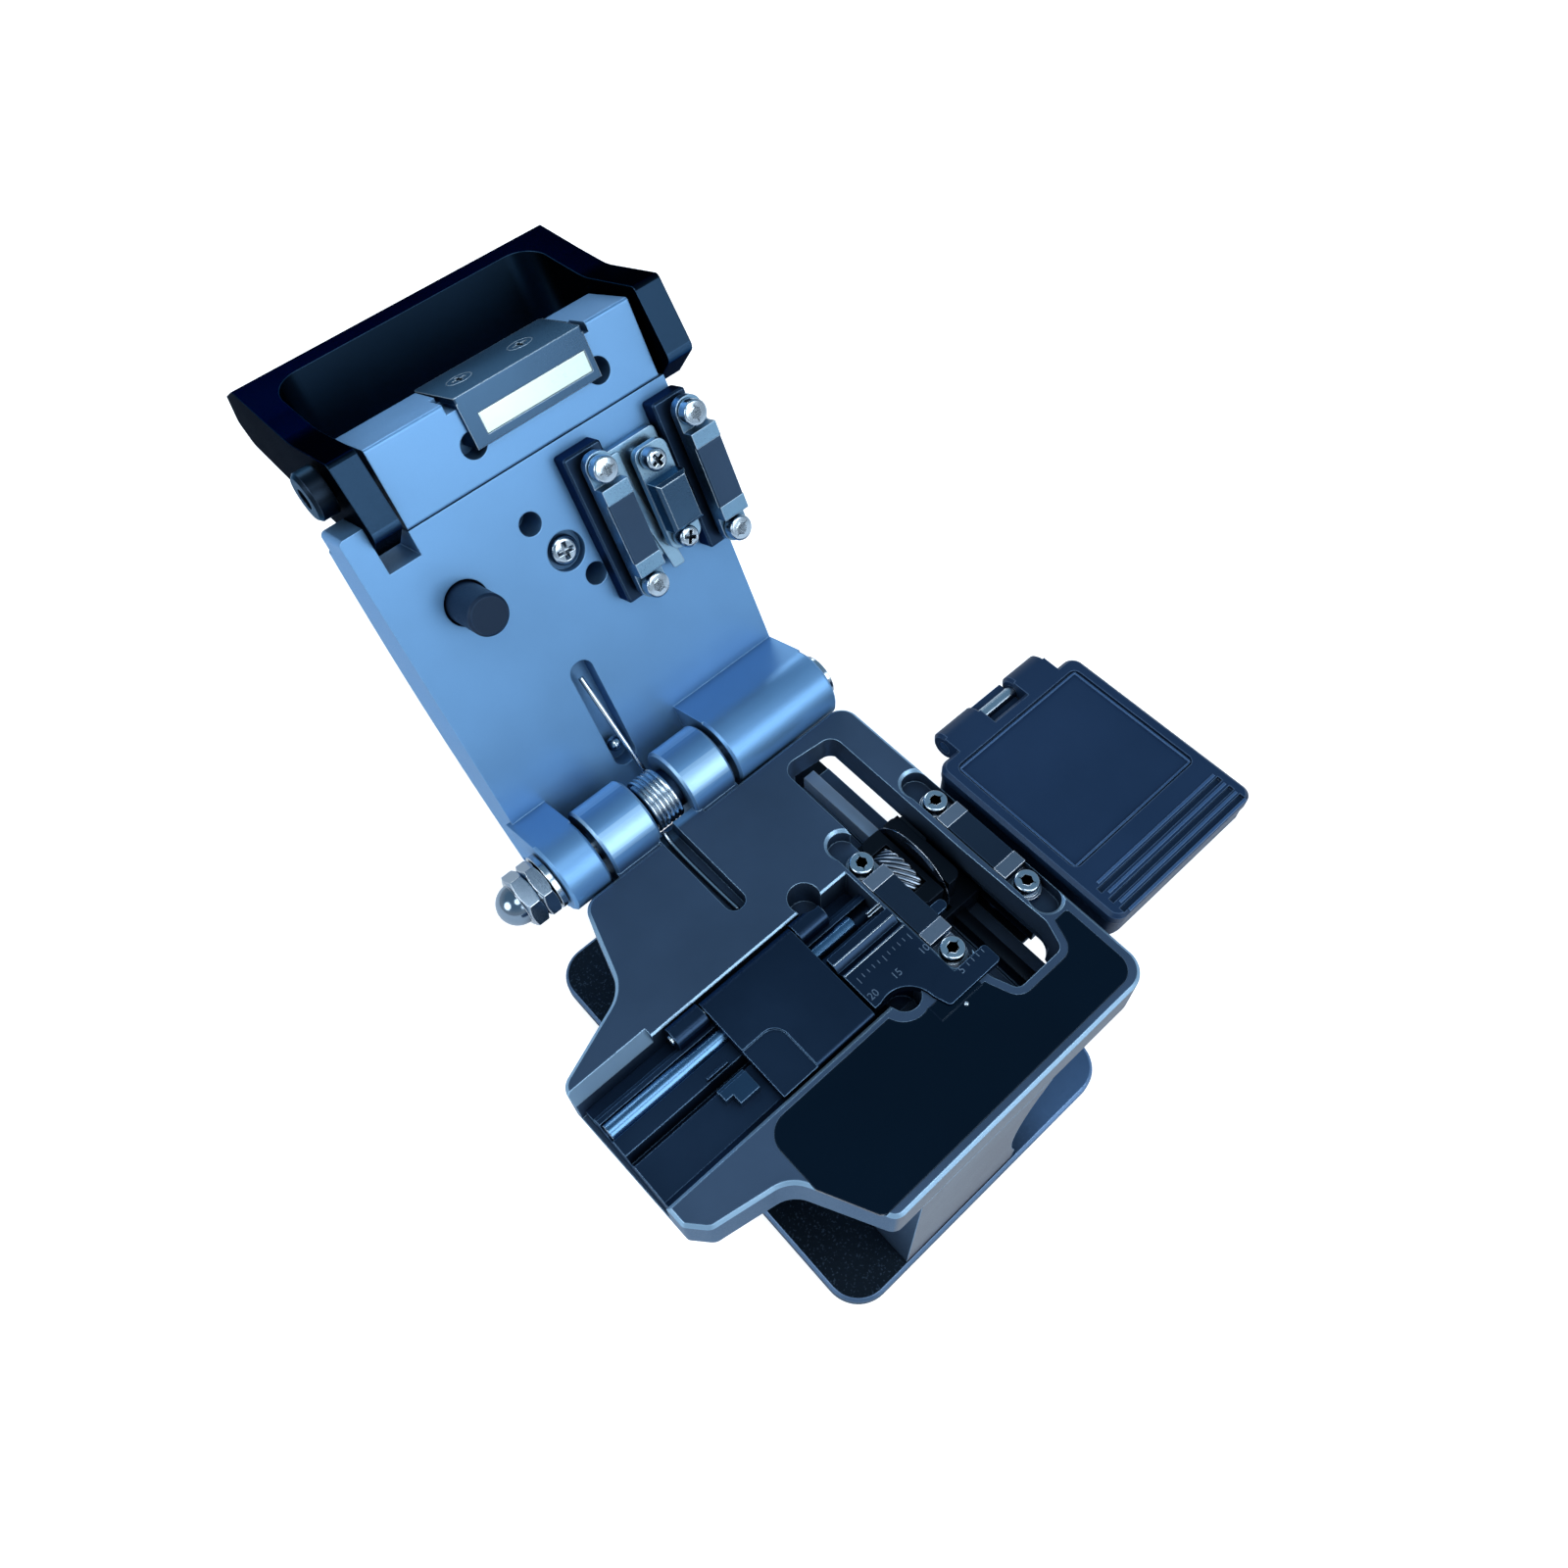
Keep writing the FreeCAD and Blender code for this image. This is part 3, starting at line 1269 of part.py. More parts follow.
base_screw_list = make_base()
make_body(base_screw_list)
make_panel()
make_slot_pieces()
make_scale_plate()
make_flap()
make_lower_clamps()
make_blade()
make_scrap_box()
make_hinge()
make_spring()
make_lid_plate()
make_lid_cover()
make_front_bar()
make_upper_clamps()
make_anvil()
make_lid_fittings()
make_handle()
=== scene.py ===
from math import atan2, cos, pi, radians, sin

import bmesh
import bpy
from mathutils import Matrix, Vector


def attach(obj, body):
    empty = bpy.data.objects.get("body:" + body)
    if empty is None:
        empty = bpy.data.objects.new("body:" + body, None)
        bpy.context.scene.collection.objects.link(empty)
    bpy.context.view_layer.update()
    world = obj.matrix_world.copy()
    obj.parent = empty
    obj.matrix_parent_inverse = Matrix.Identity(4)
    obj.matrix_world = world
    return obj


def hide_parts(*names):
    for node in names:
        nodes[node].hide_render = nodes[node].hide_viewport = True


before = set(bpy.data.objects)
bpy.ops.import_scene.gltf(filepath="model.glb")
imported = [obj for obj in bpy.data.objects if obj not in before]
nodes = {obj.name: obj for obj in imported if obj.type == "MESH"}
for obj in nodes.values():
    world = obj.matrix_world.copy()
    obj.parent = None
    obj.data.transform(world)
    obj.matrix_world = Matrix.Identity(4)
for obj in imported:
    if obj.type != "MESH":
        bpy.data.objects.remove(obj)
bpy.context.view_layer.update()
scene = bpy.context.scene
scene.view_settings.view_transform = "Standard"
mm = 0.001
print("frame loaded with", len(nodes), "nodes")


# Camera at the photograph's angle

cameraView = {
    "place": (-0.05397, -0.05856, 0.2148),
    "right": (0.74047, -0.67146, -0.02901),
    "down": (-0.58514, -0.62284, -0.51931),
    "forward": (0.33063, 0.40151, -0.85409),
    "lens": 28.604,
    "sensor": 36.0,
    "nearest": 0.01,
}


def makeCamera(view):
    lens = bpy.data.cameras.new("camera")
    lens.lens = view["lens"]
    lens.sensor_width = view["sensor"]
    lens.clip_start = view["nearest"]
    camera = bpy.data.objects.new("camera", lens)
    scene.collection.objects.link(camera)
    turn = Matrix((view["right"], -Vector(view["down"]), -Vector(view["forward"]))).transposed()
    camera.matrix_world = Matrix.Translation(view["place"]) @ turn.to_4x4()
    scene.camera = camera


makeCamera(cameraView)
print("camera set")


# Floor, sky and lamps

studio = {
    "floorColour": (0.86, 0.87, 0.89),
    "floorGlow": 0.55,
    "floorSize": 6.0,
    "floorRough": 0.9,
    "floorShine": 0.1,
    "skyLow": (0.86, 0.93, 1.0),
    "skyHigh": (0.33, 0.53, 0.70),
    "skyRise": (0.03, 0.60),
    "skyLevel": 0.6,
    "lampAim": (0.0, 0.0, 0.04),
    "lamps": {
        "frontSoftbox": {"place": (0.30, -1.15, 0.75), "size": 1.0, "watts": 9.5},
        "leftSoftbox": {"place": (-0.95, 0.10, 0.65), "size": 0.7, "watts": 5.0},
        "topSoftbox": {"place": (-0.10, -0.35, 1.10), "size": 0.6, "watts": 3.5},
        "rearSoftbox": {"place": (0.25, 0.95, 0.60), "size": 0.5, "watts": 3.0},
    },
}


def makeFloor(look):
    shape = bmesh.new()
    bmesh.ops.create_grid(shape, x_segments=2, y_segments=2, size=look["floorSize"] / 2)
    mesh = bpy.data.meshes.new("floor")
    shape.to_mesh(mesh)
    shape.free()
    floor = bpy.data.objects.new("floor", mesh)
    scene.collection.objects.link(floor)
    material = bpy.data.materials.new("paleFloor")
    material.use_nodes = True
    tree = material.node_tree
    shader = tree.nodes["Principled BSDF"]
    shader.inputs["Base Color"].default_value = (*look["floorColour"], 1.0)
    shader.inputs["Roughness"].default_value = look["floorRough"]
    shader.inputs["Specular IOR Level"].default_value = look["floorShine"]
    # The camera sees the floor nearly white, with the shadow kept
    glow = tree.nodes.new("ShaderNodeEmission")
    glow.inputs["Strength"].default_value = look["floorGlow"]
    total = tree.nodes.new("ShaderNodeAddShader")
    light = tree.nodes.new("ShaderNodeLightPath")
    choice = tree.nodes.new("ShaderNodeMixShader")
    output = tree.nodes["Material Output"]
    tree.links.new(shader.outputs[0], total.inputs[0])
    tree.links.new(glow.outputs[0], total.inputs[1])
    tree.links.new(light.outputs["Is Camera Ray"], choice.inputs[0])
    tree.links.new(shader.outputs[0], choice.inputs[1])
    tree.links.new(total.outputs[0], choice.inputs[2])
    tree.links.new(choice.outputs[0], output.inputs["Surface"])
    mesh.materials.append(material)


def makeSky(look):
    world = bpy.data.worlds.new("sky")
    scene.world = world
    world.use_nodes = True
    tree = world.node_tree
    lit = tree.nodes["Background"]
    lit.inputs["Strength"].default_value = look["skyLevel"]
    place = tree.nodes.new("ShaderNodeTexCoord")
    split = tree.nodes.new("ShaderNodeSeparateXYZ")
    ramp = tree.nodes.new("ShaderNodeValToRGB")
    ramp.color_ramp.elements[0].position = look["skyRise"][0]
    ramp.color_ramp.elements[0].color = (*look["skyLow"], 1.0)
    ramp.color_ramp.elements[1].position = look["skyRise"][1]
    ramp.color_ramp.elements[1].color = (*look["skyHigh"], 1.0)
    tree.links.new(place.outputs["Generated"], split.inputs[0])
    tree.links.new(split.outputs["Z"], ramp.inputs[0])
    tree.links.new(ramp.outputs[0], lit.inputs["Color"])
    # Plain white behind everything for the camera
    seen = tree.nodes.new("ShaderNodeBackground")
    seen.inputs["Color"].default_value = (1.0, 1.0, 1.0, 1.0)
    light = tree.nodes.new("ShaderNodeLightPath")
    choice = tree.nodes.new("ShaderNodeMixShader")
    tree.links.new(light.outputs["Is Camera Ray"], choice.inputs[0])
    tree.links.new(lit.outputs[0], choice.inputs[1])
    tree.links.new(seen.outputs[0], choice.inputs[2])
    tree.links.new(choice.outputs[0], tree.nodes["World Output"].inputs["Surface"])


def makeLamps(look):
    for name, values in look["lamps"].items():
        lamp = bpy.data.lights.new(name, "AREA")
        lamp.shape = "DISK"
        lamp.size = values["size"]
        lamp.energy = values["watts"]
        holder = bpy.data.objects.new(name, lamp)
        scene.collection.objects.link(holder)
        place = Vector(values["place"])
        aim = Vector(look["lampAim"]) - place
        turn = aim.to_track_quat("-Z", "Y").to_matrix().to_4x4()
        holder.matrix_world = Matrix.Translation(place) @ turn


makeFloor(studio)
makeSky(studio)
makeLamps(studio)
print("studio lit")


# Finishes: one for each material slot of the record, then those of single pieces

# Colours of grazing reflections
deepSky = (0.42, 0.60, 0.82)
nightSky = (0.10, 0.14, 0.20)
paleSky = (0.55, 0.75, 0.95)

# edge and edgeMix give each finish lighter edges, partly wear and partly a painted highlight; slope
# adds a painted highlight on sloping bevels, and depth sets how dark the painted shade in hollows gets
finishes = {
    "lid_anodised": {
        "colour": (100, 146, 192), "metal": 0.6, "rough": 0.38, "tint": paleSky, "grain": 5200,
        "bump": 0.10, "cloud": 0.06, "edge": (150, 196, 238), "edgeMix": 0.5,
    },
    "slate_anodised": {
        "colour": (66, 86, 112), "metal": 0.7, "rough": 0.38, "tint": paleSky, "grain": 5200,
        "bump": 0.10, "cloud": 0.10, "edge": (160, 198, 228), "edgeMix": 0.7, "slope": 0.65,
        "reach": 0.005, "change": ("Y", 0.0240, 0.0246, (100, 146, 192)),
        # Painted reflection: the table's brown on the pillar's faces towards the user
        "frontReflection": ((124, 113, 108), 0.85, -0.029),
    },
    "black_anodised": {
        "colour": (36, 54, 77), "metal": 0.92, "rough": 0.34, "tint": (0.3, 0.4, 0.52),
        "grain": 6500, "bump": 0.06, "cloud": 0.12, "edge": (106, 140, 174), "edgeMix": 0.6,
    },
    "handle_black": {
        "colour": (10, 22, 34), "metal": 1.0, "rough": 0.34, "tint": nightSky, "grain": 5200,
        "bump": 0.06, "cloud": 0.12, "edge": (60, 92, 122), "edgeMix": 0.55,
        # Painted reflection: the handle's faces towards the user lighter blue
        "frontReflection": ((54, 84, 116), 0.85, 0.072),
    },
    "speckled_black": {
        "colour": (18, 28, 38), "metal": 0.8, "rough": 0.36, "tint": deepSky, "grain": 2600,
        "bump": 0.12, "cloud": 0.16, "edge": (116, 148, 188), "edgeMix": 0.7, "speck": (44, 58, 74),
        # Painted reflection: the base plate lighter towards its right end
        "slope": 0.5, "change": ("X", 0.004, 0.016, (82, 114, 154)),
    },
    "panel_gloss": {
        "colour": (1, 11, 25), "metal": 0.0, "rough": 0.14, "tint": deepSky, "grain": 900,
        "bump": 0.01, "cloud": 0.10, "edge": (36, 56, 80), "edgeMix": 0.3, "shine": 0.30,
    },
    "box_plastic": {
        "colour": (22, 42, 70), "metal": 0.0, "rough": 0.40, "tint": deepSky, "grain": 3000,
        "bump": 0.20, "cloud": 0.10, "edge": (96, 126, 162), "edgeMix": 0.6, "shine": 0.35,
    },
    "black_rubber": {
        "colour": (16, 32, 54), "metal": 0.0, "rough": 0.50, "tint": deepSky, "grain": 4200,
        "bump": 0.12, "cloud": 0.14, "edge": (64, 90, 122), "edgeMix": 0.35, "shine": 0.35,
    },
    "pad_rubber": {
        "colour": (12, 28, 46), "metal": 0.0, "rough": 0.56, "tint": deepSky, "grain": 4800,
        "bump": 0.12, "cloud": 0.14, "edge": (62, 88, 116), "edgeMix": 0.4, "shine": 0.30,
    },
    "bright_steel": {
        "colour": (176, 194, 210), "metal": 1.0, "rough": 0.18, "grain": 3000, "bump": 0.01,
        "cloud": 0.06, "edge": (236, 242, 248), "edgeMix": 0.4, "depth": 0.75,
    },
    "grey_steel": {
        "colour": (134, 146, 164), "metal": 1.0, "rough": 0.32, "tint": paleSky, "grain": 7000,
        "bump": 0.06, "cloud": 0.12, "edge": (216, 228, 240), "edgeMix": 0.75,
    },
    "zinc_steel": {
        "colour": (136, 172, 198), "metal": 1.0, "rough": 0.30, "grain": 5200, "bump": 0.07,
        "cloud": 0.14, "edge": (226, 236, 246), "edgeMix": 0.55,
    },
    "magnet_nickel": {
        "colour": (184, 206, 204), "metal": 1.0, "rough": 0.30, "grain": 5000, "bump": 0.03,
        "cloud": 0.08, "edge": (250, 250, 250), "edgeMix": 0.4,
    },
    "black_screw": {
        "colour": (20, 30, 42), "metal": 0.9, "rough": 0.34, "tint": deepSky, "grain": 6000,
        "bump": 0.06, "cloud": 0.12, "edge": (84, 106, 132), "edgeMix": 0.5,
    },
    "ground_steel": {
        "colour": (120, 134, 150), "metal": 1.0, "rough": 0.20, "grain": 8000, "bump": 0.04,
        "cloud": 0.08, "edge": (220, 228, 236), "edgeMix": 0.3,
    },
    "knurled_grey": {
        "colour": (134, 152, 172), "metal": 1.0, "rough": 0.30, "grain": 6000, "bump": 0.06,
        "cloud": 0.14, "edge": (220, 230, 240), "edgeMix": 0.75,
    },
    "scale_ink": {
        "colour": (84, 108, 134), "metal": 0.0, "rough": 0.5, "grain": 5000, "bump": 0.04,
        "cloud": 0.25, "edge": (110, 132, 158), "edgeMix": 0.2, "shine": 0.3,
    },
    # Painted light: a lighter copy of grey_steel for the rail's rear half, without painted shade
    "rail_painted_lit": {
        "colour": (150, 180, 212), "metal": 0.3, "rough": 0.34, "grain": 6000, "bump": 0.05,
        "cloud": 0.10, "edge": (230, 238, 246), "edgeMix": 0.5, "depth": 0.0,
    },
    "nut_chrome": {
        "colour": (128, 146, 164), "metal": 1.0, "rough": 0.12, "grain": 3000, "bump": 0.005,
        "cloud": 0.10, "edge": (236, 242, 248), "edgeMix": 0.6,
    },
    "fitting_grey": {
        "colour": (56, 82, 108), "metal": 1.0, "rough": 0.30, "tint": paleSky, "grain": 6000,
        "bump": 0.05, "cloud": 0.12, "edge": (206, 226, 240), "edgeMix": 0.95,
    },
    "lid_pad": {
        "colour": (42, 62, 86), "metal": 0.0, "rough": 0.56, "tint": deepSky, "grain": 4800,
        "bump": 0.12, "cloud": 0.14, "edge": (84, 110, 138), "edgeMix": 0.4, "shine": 0.30,
    },
    # Painted shade: black anodising made darker still, also on the rail's front half and the guessed
    # parts beside it
    "black_and_painted_shade": {
        "colour": (8, 13, 20), "metal": 0.6, "rough": 0.36, "tint": deepSky, "grain": 6000,
        "bump": 0.05, "cloud": 0.12, "edge": (44, 58, 74), "edgeMix": 0.35,
    },
    "rod_polish": {
        "colour": (84, 122, 158), "metal": 1.0, "rough": 0.24, "grain": 6000, "bump": 0.02,
        "cloud": 0.08, "edge": (170, 200, 226), "edgeMix": 0.5,
    },
    "clamp_light": {
        "colour": (116, 154, 184), "metal": 1.0, "rough": 0.30, "grain": 6000, "bump": 0.05,
        "cloud": 0.12, "edge": (214, 230, 242), "edgeMix": 0.75,
    },
    "stop_blue": {
        "colour": (44, 72, 100), "metal": 0.9, "rough": 0.30, "grain": 6000, "bump": 0.05,
        "cloud": 0.12, "edge": (110, 142, 172), "edgeMix": 0.6,
    },
    # Painted highlight: a lighter copy of box_plastic for the lid's beads
    "highlit_beads": {
        "colour": (46, 74, 112), "metal": 0.0, "rough": 0.36, "tint": deepSky, "grain": 3000,
        "bump": 0.10, "cloud": 0.10, "edge": (110, 142, 178), "edgeMix": 0.6, "shine": 0.35,
        "depth": 0.3,
    },
}

# Pieces whose finish differs from the rest of their slot
ownFinishes = {
    "magnet_holder": "fitting_grey",
    "magnet_screws": "fitting_grey",
    "anvil_pad": "fitting_grey",
    "upper_pad_left": "lid_pad",
    "upper_pad_right": "lid_pad",
    "blade_carriage": "black_and_painted_shade",
    "guide_rod": "rod_polish",
    "fibre_stop": "stop_blue",
    "upper_clamp_left": "clamp_light",
    "upper_clamp_right": "clamp_light",
}

# Shared by every finish: each span gives the values between which an effect runs from none to full
pattern = {
    "cloudScale": 55.0,
    "cloudDetail": 6.0,
    "cloudSpan": (0.3, 0.7),
    "grainDetail": 2.0,
    "speckSpan": (0.60, 0.68),
    "frontSpan": (-0.75, -0.95),
    "frontFade": 0.001,
    "samples": 6,
    "edgeRadius": 0.00022,
    "edgeSpan": (0.995, 0.90),
    "reach": 0.0035,
    "depth": 0.80,
    "closedSpan": (0.75, 0.15),
    "closedShade": 0.12,
    "riseSpan": (0.45, 0.60),
    "fallSpan": (0.96, 0.90),
    "mixedSpan": (0.1, 0.4),
    "roughShares": (0.85, 1.2),
    "bumpHeight": 0.00004,
}


def linear(colour):
    # Linear shares of a screen colour given from 0 to 255
    shares = [channel / 255 for channel in colour]
    return tuple(s / 12.92 if s <= 0.04045 else ((s + 0.055) / 1.055) ** 2.4 for s in shares)


def makeFinish(name, look):
    material = bpy.data.materials.new(name)
    material.use_nodes = True
    tree = material.node_tree
    link = tree.links.new
    shader = tree.nodes["Principled BSDF"]
    shader.inputs["Metallic"].default_value = look["metal"]
    shader.inputs["Specular IOR Level"].default_value = look.get("shine", 0.5)
    shader.inputs["Specular Tint"].default_value = (*look.get("tint", (1.0, 1.0, 1.0)), 1.0)
    place = tree.nodes.new("ShaderNodeTexCoord")
    facing = tree.nodes.new("ShaderNodeNewGeometry")

    def remap(source, low, high, bottom=0.0, top=1.0):
        span = tree.nodes.new("ShaderNodeMapRange")
        span.inputs["From Min"].default_value = low
        span.inputs["From Max"].default_value = high
        span.inputs["To Min"].default_value = bottom
        span.inputs["To Max"].default_value = top
        link(source, span.inputs["Value"])
        return span.outputs["Result"]

    def blend(first, second, share):
        mix = tree.nodes.new("ShaderNodeMix")
        mix.data_type = "RGBA"
        for source, socket in ((first, mix.inputs["A"]), (second, mix.inputs["B"])):
            if isinstance(source, tuple):
                socket.default_value = (*source, 1.0)
            else:
                link(source, socket)
        link(share, mix.inputs["Factor"])
        return mix.outputs["Result"]

    def product(first, second):
        node = tree.nodes.new("ShaderNodeMath")
        node.operation = "MULTIPLY"
        link(first, node.inputs[0])
        link(second, node.inputs[1])
        return node.outputs["Value"]

    # Broad clouding of the colour
    cloud = tree.nodes.new("ShaderNodeTexNoise")
    cloud.inputs["Scale"].default_value = pattern["cloudScale"]
    cloud.inputs["Detail"].default_value = pattern["cloudDetail"]
    link(place.outputs["Object"], cloud.inputs["Vector"])
    base = linear(look["colour"])
    dim = tuple(c * (1 - look["cloud"]) for c in base)
    lit = tuple(min(1.0, c * (1 + look["cloud"])) for c in base)
    patches = remap(cloud.outputs["Fac"], *pattern["cloudSpan"])
    colour = blend(dim, lit, patches)
    # Fine grain, as left by bead blasting, moulding or grinding
    grain = tree.nodes.new("ShaderNodeTexNoise")
    grain.inputs["Scale"].default_value = look["grain"]
    grain.inputs["Detail"].default_value = pattern["grainDetail"]
    link(place.outputs["Object"], grain.inputs["Vector"])
    if "speck" in look:
        specks = remap(grain.outputs["Fac"], *pattern["speckSpan"])
        colour = blend(colour, linear(look["speck"]), specks)
    spot = tree.nodes.new("ShaderNodeSeparateXYZ")
    link(place.outputs["Object"], spot.inputs[0])
    if "change" in look:
        # The colour changes along one direction of the piece; on the base plate it is a painted
        # reflection
        axis, start, end, further = look["change"]
        colour = blend(colour, linear(further), remap(spot.outputs[axis], start, end))
    if "frontReflection" in look:
        # Painted reflection: faces towards the user, in front of a given place, take a reflected colour
        reflectedTone, share, rear = look["frontReflection"]
        side = tree.nodes.new("ShaderNodeSeparateXYZ")
        link(facing.outputs["Normal"], side.inputs[0])
        upright = remap(side.outputs["Y"], *pattern["frontSpan"])
        ahead = remap(spot.outputs["Y"], rear + pattern["frontFade"], rear, 0.0, share)
        colour = blend(colour, linear(reflectedTone), product(upright, ahead))
    # Edges painted lighter: partly wear, partly a painted highlight
    soften = tree.nodes.new("ShaderNodeBevel")
    soften.samples = pattern["samples"]
    soften.inputs["Radius"].default_value = pattern["edgeRadius"]
    match = tree.nodes.new("ShaderNodeVectorMath")
    match.operation = "DOT_PRODUCT"
    link(soften.outputs["Normal"], match.inputs[0])
    link(facing.outputs["Normal"], match.inputs[1])
    wornAndHighlitEdges = remap(match.outputs["Value"], *pattern["edgeSpan"], 0.0, look["edgeMix"])
    colour = blend(colour, linear(look["edge"]), wornAndHighlitEdges)
    # Painted shade: bores and narrow gaps darkened by ambient occlusion
    shade = tree.nodes.new("ShaderNodeAmbientOcclusion")
    shade.samples = pattern["samples"]
    shade.inputs["Distance"].default_value = look.get("reach", pattern["reach"])
    depth = look.get("depth", pattern["depth"])
    closed = remap(shade.outputs["AO"], *pattern["closedSpan"], 0.0, depth)
    colour = blend(colour, tuple(c * pattern["closedShade"] for c in base), closed)
    if "slope" in look:
        # Painted highlight on bevels that run at a slope
        tilt = tree.nodes.new("ShaderNodeSeparateXYZ")
        link(facing.outputs["True Normal"], tilt.inputs[0])
        rising = remap(tilt.outputs["Z"], *pattern["riseSpan"])
        falling = remap(tilt.outputs["Z"], *pattern["fallSpan"], 0.0, look["slope"])
        colour = blend(colour, linear(look["edge"]), product(rising, falling))
    link(colour, shader.inputs["Base Color"])
    # Roughness varies a little with both patterns
    mixed = product(cloud.outputs["Fac"], grain.outputs["Fac"])
    smooth, coarse = (look["rough"] * share for share in pattern["roughShares"])
    link(remap(mixed, *pattern["mixedSpan"], smooth, coarse), shader.inputs["Roughness"])
    bump = tree.nodes.new("ShaderNodeBump")
    bump.inputs["Strength"].default_value = look["bump"]
    bump.inputs["Distance"].default_value = pattern["bumpHeight"]
    link(grain.outputs["Fac"], bump.inputs["Height"])
    link(soften.outputs["Normal"], bump.inputs["Normal"])
    link(bump.outputs["Normal"], shader.inputs["Normal"])
    return material


materials = {name: makeFinish(name, look) for name, look in finishes.items()}
for name, node in nodes.items():
    for holder in node.material_slots:
        holder.material = materials[ownFinishes.get(name, holder.material.name.split(".")[0])]
print("finishes on", len(nodes), "nodes")


# Shared helpers for new pieces, all drawn in millimetres

hingePlace = (0.0, 30.4, 50.2)
lidAngle = 64.0
nearlySame = 1e-4
justBelow = 1e-3
sleeveSides = 32
wireDetail = {"roundness": 3, "steps": 6, "order": 3}


def lidSpot(x, u, v):
    # A place given in the lid's own directions
    lift = Matrix.Translation(hingePlace) @ Matrix.Rotation(radians(lidAngle), 4, "X")
    return lift @ Matrix.Translation((x, u, v))


def addPiece(name, shape, slot, body, replaced=(), look=None, crease=32):
    # Turns a bmesh into a piece that rides on a body
    bmesh.ops.remove_doubles(shape, verts=shape.verts, dist=nearlySame)
    bmesh.ops.recalc_face_normals(shape, faces=shape.faces)
    bmesh.ops.scale(shape, vec=(mm, mm, mm), verts=shape.verts)
    for face in shape.faces:
        face.smooth = True
    for edge in shape.edges:
        if len(edge.link_faces) == 2 and edge.calc_face_angle(0.0) > radians(crease):
            edge.smooth = False
    mesh = bpy.data.meshes.new(name)
    shape.to_mesh(mesh)
    shape.free()
    mesh.materials.append(materials[look or slot])
    piece = bpy.data.objects.new(name, mesh)
    scene.collection.objects.link(piece)
    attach(piece, body)
    if replaced:
        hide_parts(*replaced)
    return piece


def joinInto(target, source, place):
    # Adds a copy of one bmesh to another at a place
    mesh = bpy.data.meshes.new("part")
    source.to_mesh(mesh)
    mesh.transform(place)
    target.from_mesh(mesh)
    bpy.data.meshes.remove(mesh)


def fromCurve(curve):
    # Bmesh of a curve's surface
    holder = bpy.data.objects.new("curve", curve)
    scene.collection.objects.link(holder)
    mesh = bpy.data.meshes.new_from_object(holder)
    bpy.data.objects.remove(holder)
    shape = bmesh.new()
    shape.from_mesh(mesh)
    bpy.data.meshes.remove(mesh)
    return shape


def wireThrough(points, radius):
    # Round wire drawn smoothly through a run of points
    curve = bpy.data.curves.new("wire", "CURVE")
    curve.dimensions = "3D"
    curve.bevel_depth = radius
    curve.bevel_resolution = wireDetail["roundness"]
    curve.resolution_u = wireDetail["steps"]
    curve.use_fill_caps = True
    line = curve.splines.new("NURBS")
    line.points.add(len(points) - 1)
    for spot, place in zip(line.points, points):
        spot.co = (*place, 1.0)
    line.order_u = wireDetail["order"]
    line.use_endpoint_u = True
    return fromCurve(curve)


def ring(shape, sides, radius, height):
    # Closed loop of edges at a height, and its corners
    corners = bmesh.ops.create_circle(shape, segments=sides, radius=radius)["verts"]
    bmesh.ops.translate(shape, vec=(0, 0, height), verts=corners)
    return list({edge for corner in corners for edge in corner.link_edges}), corners


def hexRing(shape, sides, half, height):
    # Closed loop in a hexagon's outline, half being half its width across flats
    loop, corners = ring(shape, sides, half, height)
    for corner in corners:
        angle = atan2(corner.co.y, corner.co.x) % (pi / 3) - pi / 6
        bmesh.ops.scale(shape, vec=(1 / cos(angle), 1 / cos(angle), 1), verts=[corner])
    return loop, corners


def raiseLoop(shape, edges, rise, scale=1.0):
    # Draws a loop of edges upwards and returns the new loop
    made = bmesh.ops.extrude_edge_only(shape, edges=edges)["geom"]
    corners = [item for item in made if isinstance(item, bmesh.types.BMVert)]
    bmesh.ops.scale(shape, vec=(scale, scale, 1), verts=corners)
    bmesh.ops.translate(shape, vec=(0, 0, rise), verts=corners)
    own = set(corners)
    loop = [item for item in made if isinstance(item, bmesh.types.BMEdge) and set(item.verts) <= own]
    return loop, corners


def bar(shape, x, y, z, rounding=0.0):
    # Adds a straight bar from three (low, high) pairs, its upper edges rounded
    own = bmesh.new()
    bmesh.ops.create_cube(own, size=1.0)
    bmesh.ops.scale(own, vec=(x[1] - x[0], y[1] - y[0], z[1] - z[0]), verts=own.verts)
    if rounding:
        top = [edge for edge in own.edges if all(vert.co.z > 0 for vert in edge.verts)]
        bmesh.ops.bevel(own, geom=top, offset=rounding, segments=2, profile=0.5,
                        affect="EDGES", material=-1)
    middle = ((x[0] + x[1]) / 2, (y[0] + y[1]) / 2, (z[0] + z[1]) / 2)
    joinInto(shape, own, Matrix.Translation(middle))
    own.free()


def addSleeve(shape, radius, length):
    # Adds a plain sleeve below a screw's head
    sleeve = bmesh.new()
    foot = ring(sleeve, sleeveSides, radius, -length)[0]
    bmesh.ops.contextual_create(sleeve, geom=foot)
    raiseLoop(sleeve, foot, length)
    joinInto(shape, sleeve, Matrix.Identity(4))
    sleeve.free()


# Torsion spring: coils with a leg in the lid's slot, a foot in the deck's slot, and the leg's seat

springShape = {
    "left": -9.0,
    "right": -4.4,
    "coils": 5.75,
    "radius": 4.17,
    "wire": 0.42,
    "stepsPerCoil": 16,
    "startAngle": 270,
    "legTip": (-5.25, 19.6, -9.3),
    "legBend": (-4.9, 10.0, -6.6),
    "footPoints": ((-9.0, 25.5, 48.9), (-9.2, 24.2, 47.8), (-9.0, 12.0, 47.6), (-8.8, 8.6, 47.6)),
    "seatPlace": (-5.3, 6.4, -9.6),
    "seatRadius": 1.2,
    "seatSides": (32, 20),
}


